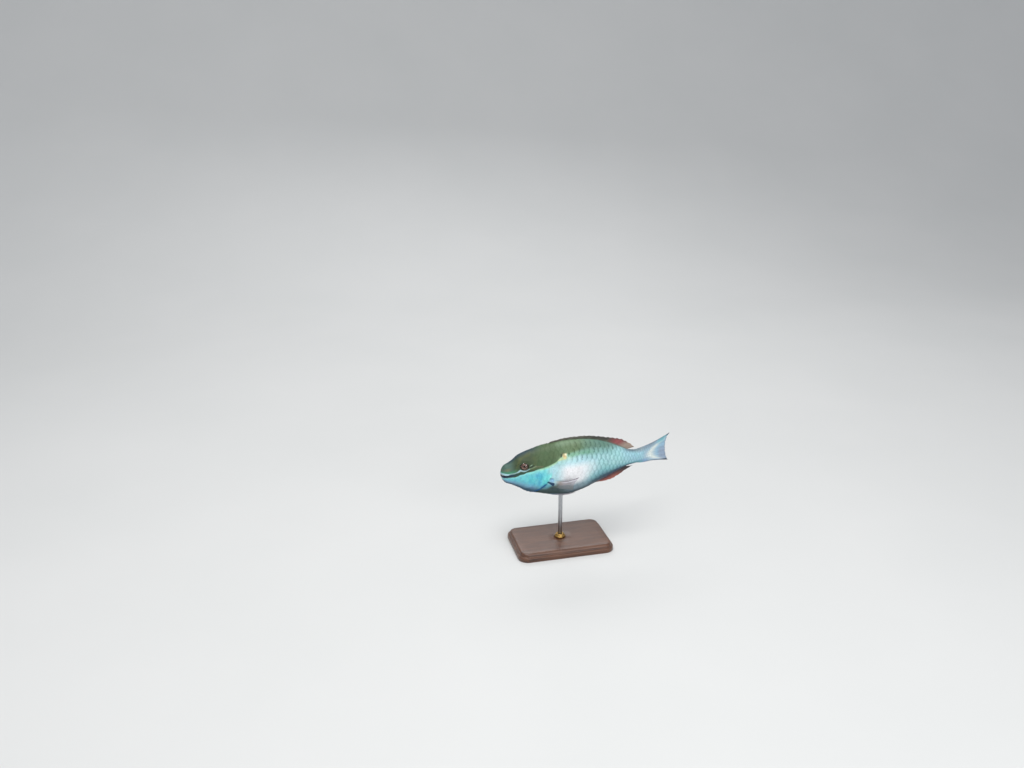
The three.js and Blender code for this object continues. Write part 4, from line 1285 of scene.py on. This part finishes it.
def build_eye(word, side):
    radii = np.concatenate([
        np.linspace(0.05, 1.5, 14), [1.55, 1.62], np.linspace(1.75, 4.5, 26), np.linspace(4.6, 5.4, 7),
    ])
    iris = np.interp(radii, [PUPIL, 1.75, 3.2, 4.4, 4.7, 5.4], [0.02, 0.10, 0.02, -0.35, -0.7, -2.0])
    heights = np.where(radii < PUPIL, -0.12 + 0.22 * (1 - (radii / PUPIL) ** 2), iris)
    rear_radii, rear_heights = [5.3, 4.6, 3.2, 1.4, 0.05], [-3.2, -4.6, -5.8, -6.5, -6.6]
    radii, heights = np.append(radii, rear_radii), np.append(heights, rear_heights)
    ride(eye_shell("eyeball_" + word, radii, heights, side, IRIS), "eye", "eye_" + word)

    reach, apex, foot, thick = 4.95, 1.15, -0.45, 0.14
    bend = (reach**2 + (apex - foot) ** 2) / (2 * (apex - foot))
    radii = np.linspace(0.02, reach, 26)
    outer = apex - bend + np.sqrt(bend**2 - radii**2)
    heights = np.append(outer, outer[::-1] - thick)
    ride(eye_shell("cornea_" + word, np.append(radii, radii[::-1]), heights, side, CORNEA), "eye")


# Beak

BEAK = beak_material()


def build_beak(name, replaced, up, front, width, reach, low, high):
    """A plate of fused teeth bent round the front of a jaw; up is 1 for the upper jaw."""
    turns, loop = 181, 28
    phase = np.arange(loop) / loop * 2 * math.pi
    turn, _ = np.meshgrid(np.linspace(-1, 1, turns) * math.pi / 2 * 0.98, phase, indexing="ij")
    # the section: flat inside, bulging outside, thin at the cutting edge
    depth = 0.5 * (1 - np.cos(phase))  # 0 at the edge, 1 at the root
    side = np.sin(phase)  # outer half positive
    height = low + (high - low) * depth + 0.13 * (1 - np.abs(np.sin(turn * 11))) * (1 - depth) ** 2
    mosaic = np.abs(np.sin(turn * 11 + np.floor(depth * 5) * math.pi / 2) * np.cos(depth * 5 * math.pi / 2))
    outer = np.where(side > 0, side, side * 0.6) * (0.16 + 0.5 * depth**0.8) + 0.04 * mosaic * (side > 0)
    x = front + reach - (reach + outer) * np.cos(turn)
    placed = pose(x, (width + outer) * np.sin(turn), MOUTH_HEIGHT + up * height + MOUTH_SLOPE * x)
    quads, _ = grid(turns, loop, wrap=True, flip=up < 0)
    first = np.arange(loop)[None, ::-up]
    last = np.arange(loop)[None, ::up] + (turns - 1) * loop
    teeth = (1 - mosaic) * (side > 0)
    ride(make_object(name, placed, [quads, first, last], BEAK, {"teeth": teeth}), "beak", replaced)


# Stand

BASE_LENGTH, BASE_WIDTH, BASE_HEIGHT, BASE_CORNER = 118.0, 74.0, 10.0, 12.0
# How far in from the base's outline, and the height there
BASE_EDGE = [
    (1.3, 0.0), (0.5, 0.0), (0.12, 0.3), (0.0, 0.9), (0.0, 4.8), (0.15, 5.3), (0.6, 5.6), (1.3, 5.7),
    (1.9, 5.9), (2.2, 6.4), (2.35, 7.4), (2.7, 8.5), (3.4, 9.35), (4.4, 9.85), (5.6, 10.0),
]
HOLE_FLOOR = 5.2
# Distance from the axis, and the height there
ROD_PROFILE = [
    (0.01, 5.4), (2.1, 5.4), (2.5, 5.8), (2.5, 30), (2.5, 55), (2.5, 77.4), (2.2, 77.9), (0.01, 77.9),
]
COLLAR_PROFILE = [
    (2.8, 10.35), (6.2, 10.35), (6.5, 10.65), (6.5, 11.5), (6.3, 11.75), (5.6, 11.9), (5.3, 12.2),
    (5.15, 12.8), (4.9, 13.6), (4.4, 14.1), (3.6, 14.3), (2.9, 14.25), (2.8, 14.1), (2.8, 10.35),
]


def base_outline(inwards, count):
    """Points at even steps round the base, from the end of its rounded corner at +x and -y on."""
    corner = max(BASE_CORNER - inwards, 2.0)
    x, y = [], []
    for quarter, (sx, sy) in enumerate(((1, 1), (-1, 1), (-1, -1), (1, -1))):
        turn = np.linspace(quarter, quarter + 1, 65) * math.pi / 2
        x.append(sx * (BASE_LENGTH / 2 - inwards - corner) + corner * np.cos(turn))
        y.append(sy * (BASE_WIDTH / 2 - inwards - corner) + corner * np.sin(turn))
    x, y = np.concatenate([x[3][-1:], *x]), np.concatenate([y[3][-1:], *y])
    way = totals(np.hypot(np.diff(x), np.diff(y)))
    steps = np.arange(count) / count * way[-1]
    return np.stack([np.interp(steps, way, x), np.interp(steps, way, y)], 1)


def build_base():
    around = 240
    rings = [(base_outline(inwards, around), z) for inwards, z in BASE_EDGE]
    top = rings[-1][0]
    rings += [(top * share, BASE_HEIGHT) for share in (0.85, 0.6, 0.3)]
    spin = np.arctan2(top[:, 1], top[:, 0])
    round_hole = np.stack([np.cos(spin), np.sin(spin)], 1)
    hole = ((3.1, BASE_HEIGHT), (2.85, BASE_HEIGHT - 0.25), (2.8, HOLE_FLOOR), (0.05, HOLE_FLOOR))
    rings += [(round_hole * r, z) for r, z in hole]
    points = [np.column_stack([xy, np.full(around, z)]) for xy, z in rings]
    quads, _ = grid(len(rings), around, wrap=True)
    tip = len(rings) * around
    faces = [quads, fan(tip, 0, around), fan(tip + 1, tip - around, around, flip=True)]
    points = np.concatenate([*points, [[0, 0, 0], [0, 0, HOLE_FLOOR]]])
    ride(make_object("stand_plinth", points, faces, wood_material()), "stand_wood", "stand_base")


def build_lathe(name, profile, material, slot, replaced, turns=64):
    """A turned solid. The profile is a closed loop, or starts and ends on the axis."""
    r, z = np.array(profile, float).T[..., None]
    angle = np.arange(turns) / turns * 2 * math.pi
    points = np.stack(np.broadcast_arrays(r * np.cos(angle), r * np.sin(angle), z), -1)
    quads, _ = grid(len(profile), turns, wrap=True)
    ride(make_object(name, points, [quads], material), slot, replaced)


# Floor, light, camera


def build_floor():
    g = Graph("floor")
    colour = g.blend(g.noise(g.place(), 0.004, 3), rgb(206, 207, 206), rgb(213, 213, 212))
    material = g.shade(colour, 0.9, Specular_IOR_Level=0.2)
    turn = np.linspace(0, math.pi / 2, 33)
    depth = [-1600, *(900 + 1600 * np.sin(turn)), 2500]
    height = [0, *(1600 * (1 - np.cos(turn))), 3200]
    points = np.array([[x, y, z] for y, z in zip(depth, height) for x in (-2600.0, 2600.0)])
    quads, _ = grid(len(depth), 2, flip=True)
    make_object("floor", points, [quads], material)


def area_light(name, at, size, watts, colour):
    """A light at a place in metres, turned to the fish."""
    data = bpy.data.lights.new(name, "AREA")
    data.shape = "ELLIPSE"
    data.size, data.size_y = size
    data.energy = watts
    data.color = colour
    light = bpy.data.objects.new(name, data)
    light.location = at
    light.rotation_euler = (Vector((0, 0, 0.1)) - Vector(at)).to_track_quat("-Z", "Y").to_euler()
    bpy.context.scene.collection.objects.link(light)


def light_room():
    area_light("key", (-0.3, -0.5, 1.6), (1.1, 1.1), 19, (1.0, 0.99, 0.97))
    area_light("fill", (0.5, -1.5, 0.7), (1.2, 0.8), 8, (0.97, 0.99, 1.0))
    area_light("back", (0.2, 1.2, 1.1), (1.4, 0.6), 6, (1.0, 1.0, 1.0))
    world = bpy.data.worlds.new("studio")
    bpy.context.scene.world = world
    world.use_nodes = True
    sky = world.node_tree.nodes["Background"]
    sky.inputs["Color"].default_value = (0.92, 0.95, 1.0, 1)
    sky.inputs["Strength"].default_value = 0.55
    bpy.context.scene.view_settings.view_transform = "Standard"


CAMERA_AT = (-312.96, -1014.91, 598.89)
CAMERA_PITCH, CAMERA_YAW = 20.262, -13.990
FOCAL_SHARE = 983 / 1024  # focal length as a share of the picture's width


def place_camera():
    camera = bpy.data.objects.new("camera", bpy.data.cameras.new("camera"))
    camera.data.lens = 36.0 * FOCAL_SHARE
    camera.data.clip_start = 0.01
    camera.location = [v * MM for v in CAMERA_AT]
    camera.rotation_euler = (math.radians(90 - CAMERA_PITCH), 0, math.radians(CAMERA_YAW))
    bpy.context.scene.collection.objects.link(camera)
    bpy.context.scene.camera = camera


build_skin()
PLACES = scale_places()
for word, side in SIDES:
    for name, tubes, rows, columns in (("scales_", False, 16, 20), ("side_line_", True, 34, 41)):
        here = [p for p in PLACES if p[2] == side and (p[1] == LINE_ROW and p[0] > FIRST_TUBE) == tubes]
        build_scales(name + word, here, rows, columns, tubes)
build_fins()
for word, side in SIDES:
    build_eye(word, side)
build_beak("beak_plate_upper", "beak_upper", 1, 1.75, 4.0, 6.2, -0.05, 2.6)
build_beak("beak_plate_lower", "beak_lower", -1, 1.05, 4.5, 6.4, -0.42, 2.4)
build_base()
steel = metal_material("brushed_steel", rgb(150, 152, 156), rgb(196, 198, 202), 0.32)
build_lathe("stand_post", ROD_PROFILE, steel, "stand_steel", "stand_rod")
brass = metal_material("brass", rgb(150, 118, 66), rgb(196, 160, 96), 0.34)
build_lathe("stand_ferrule", COLLAR_PROFILE, brass, "stand_brass", "stand_collar")
build_floor()
light_room()
place_camera()
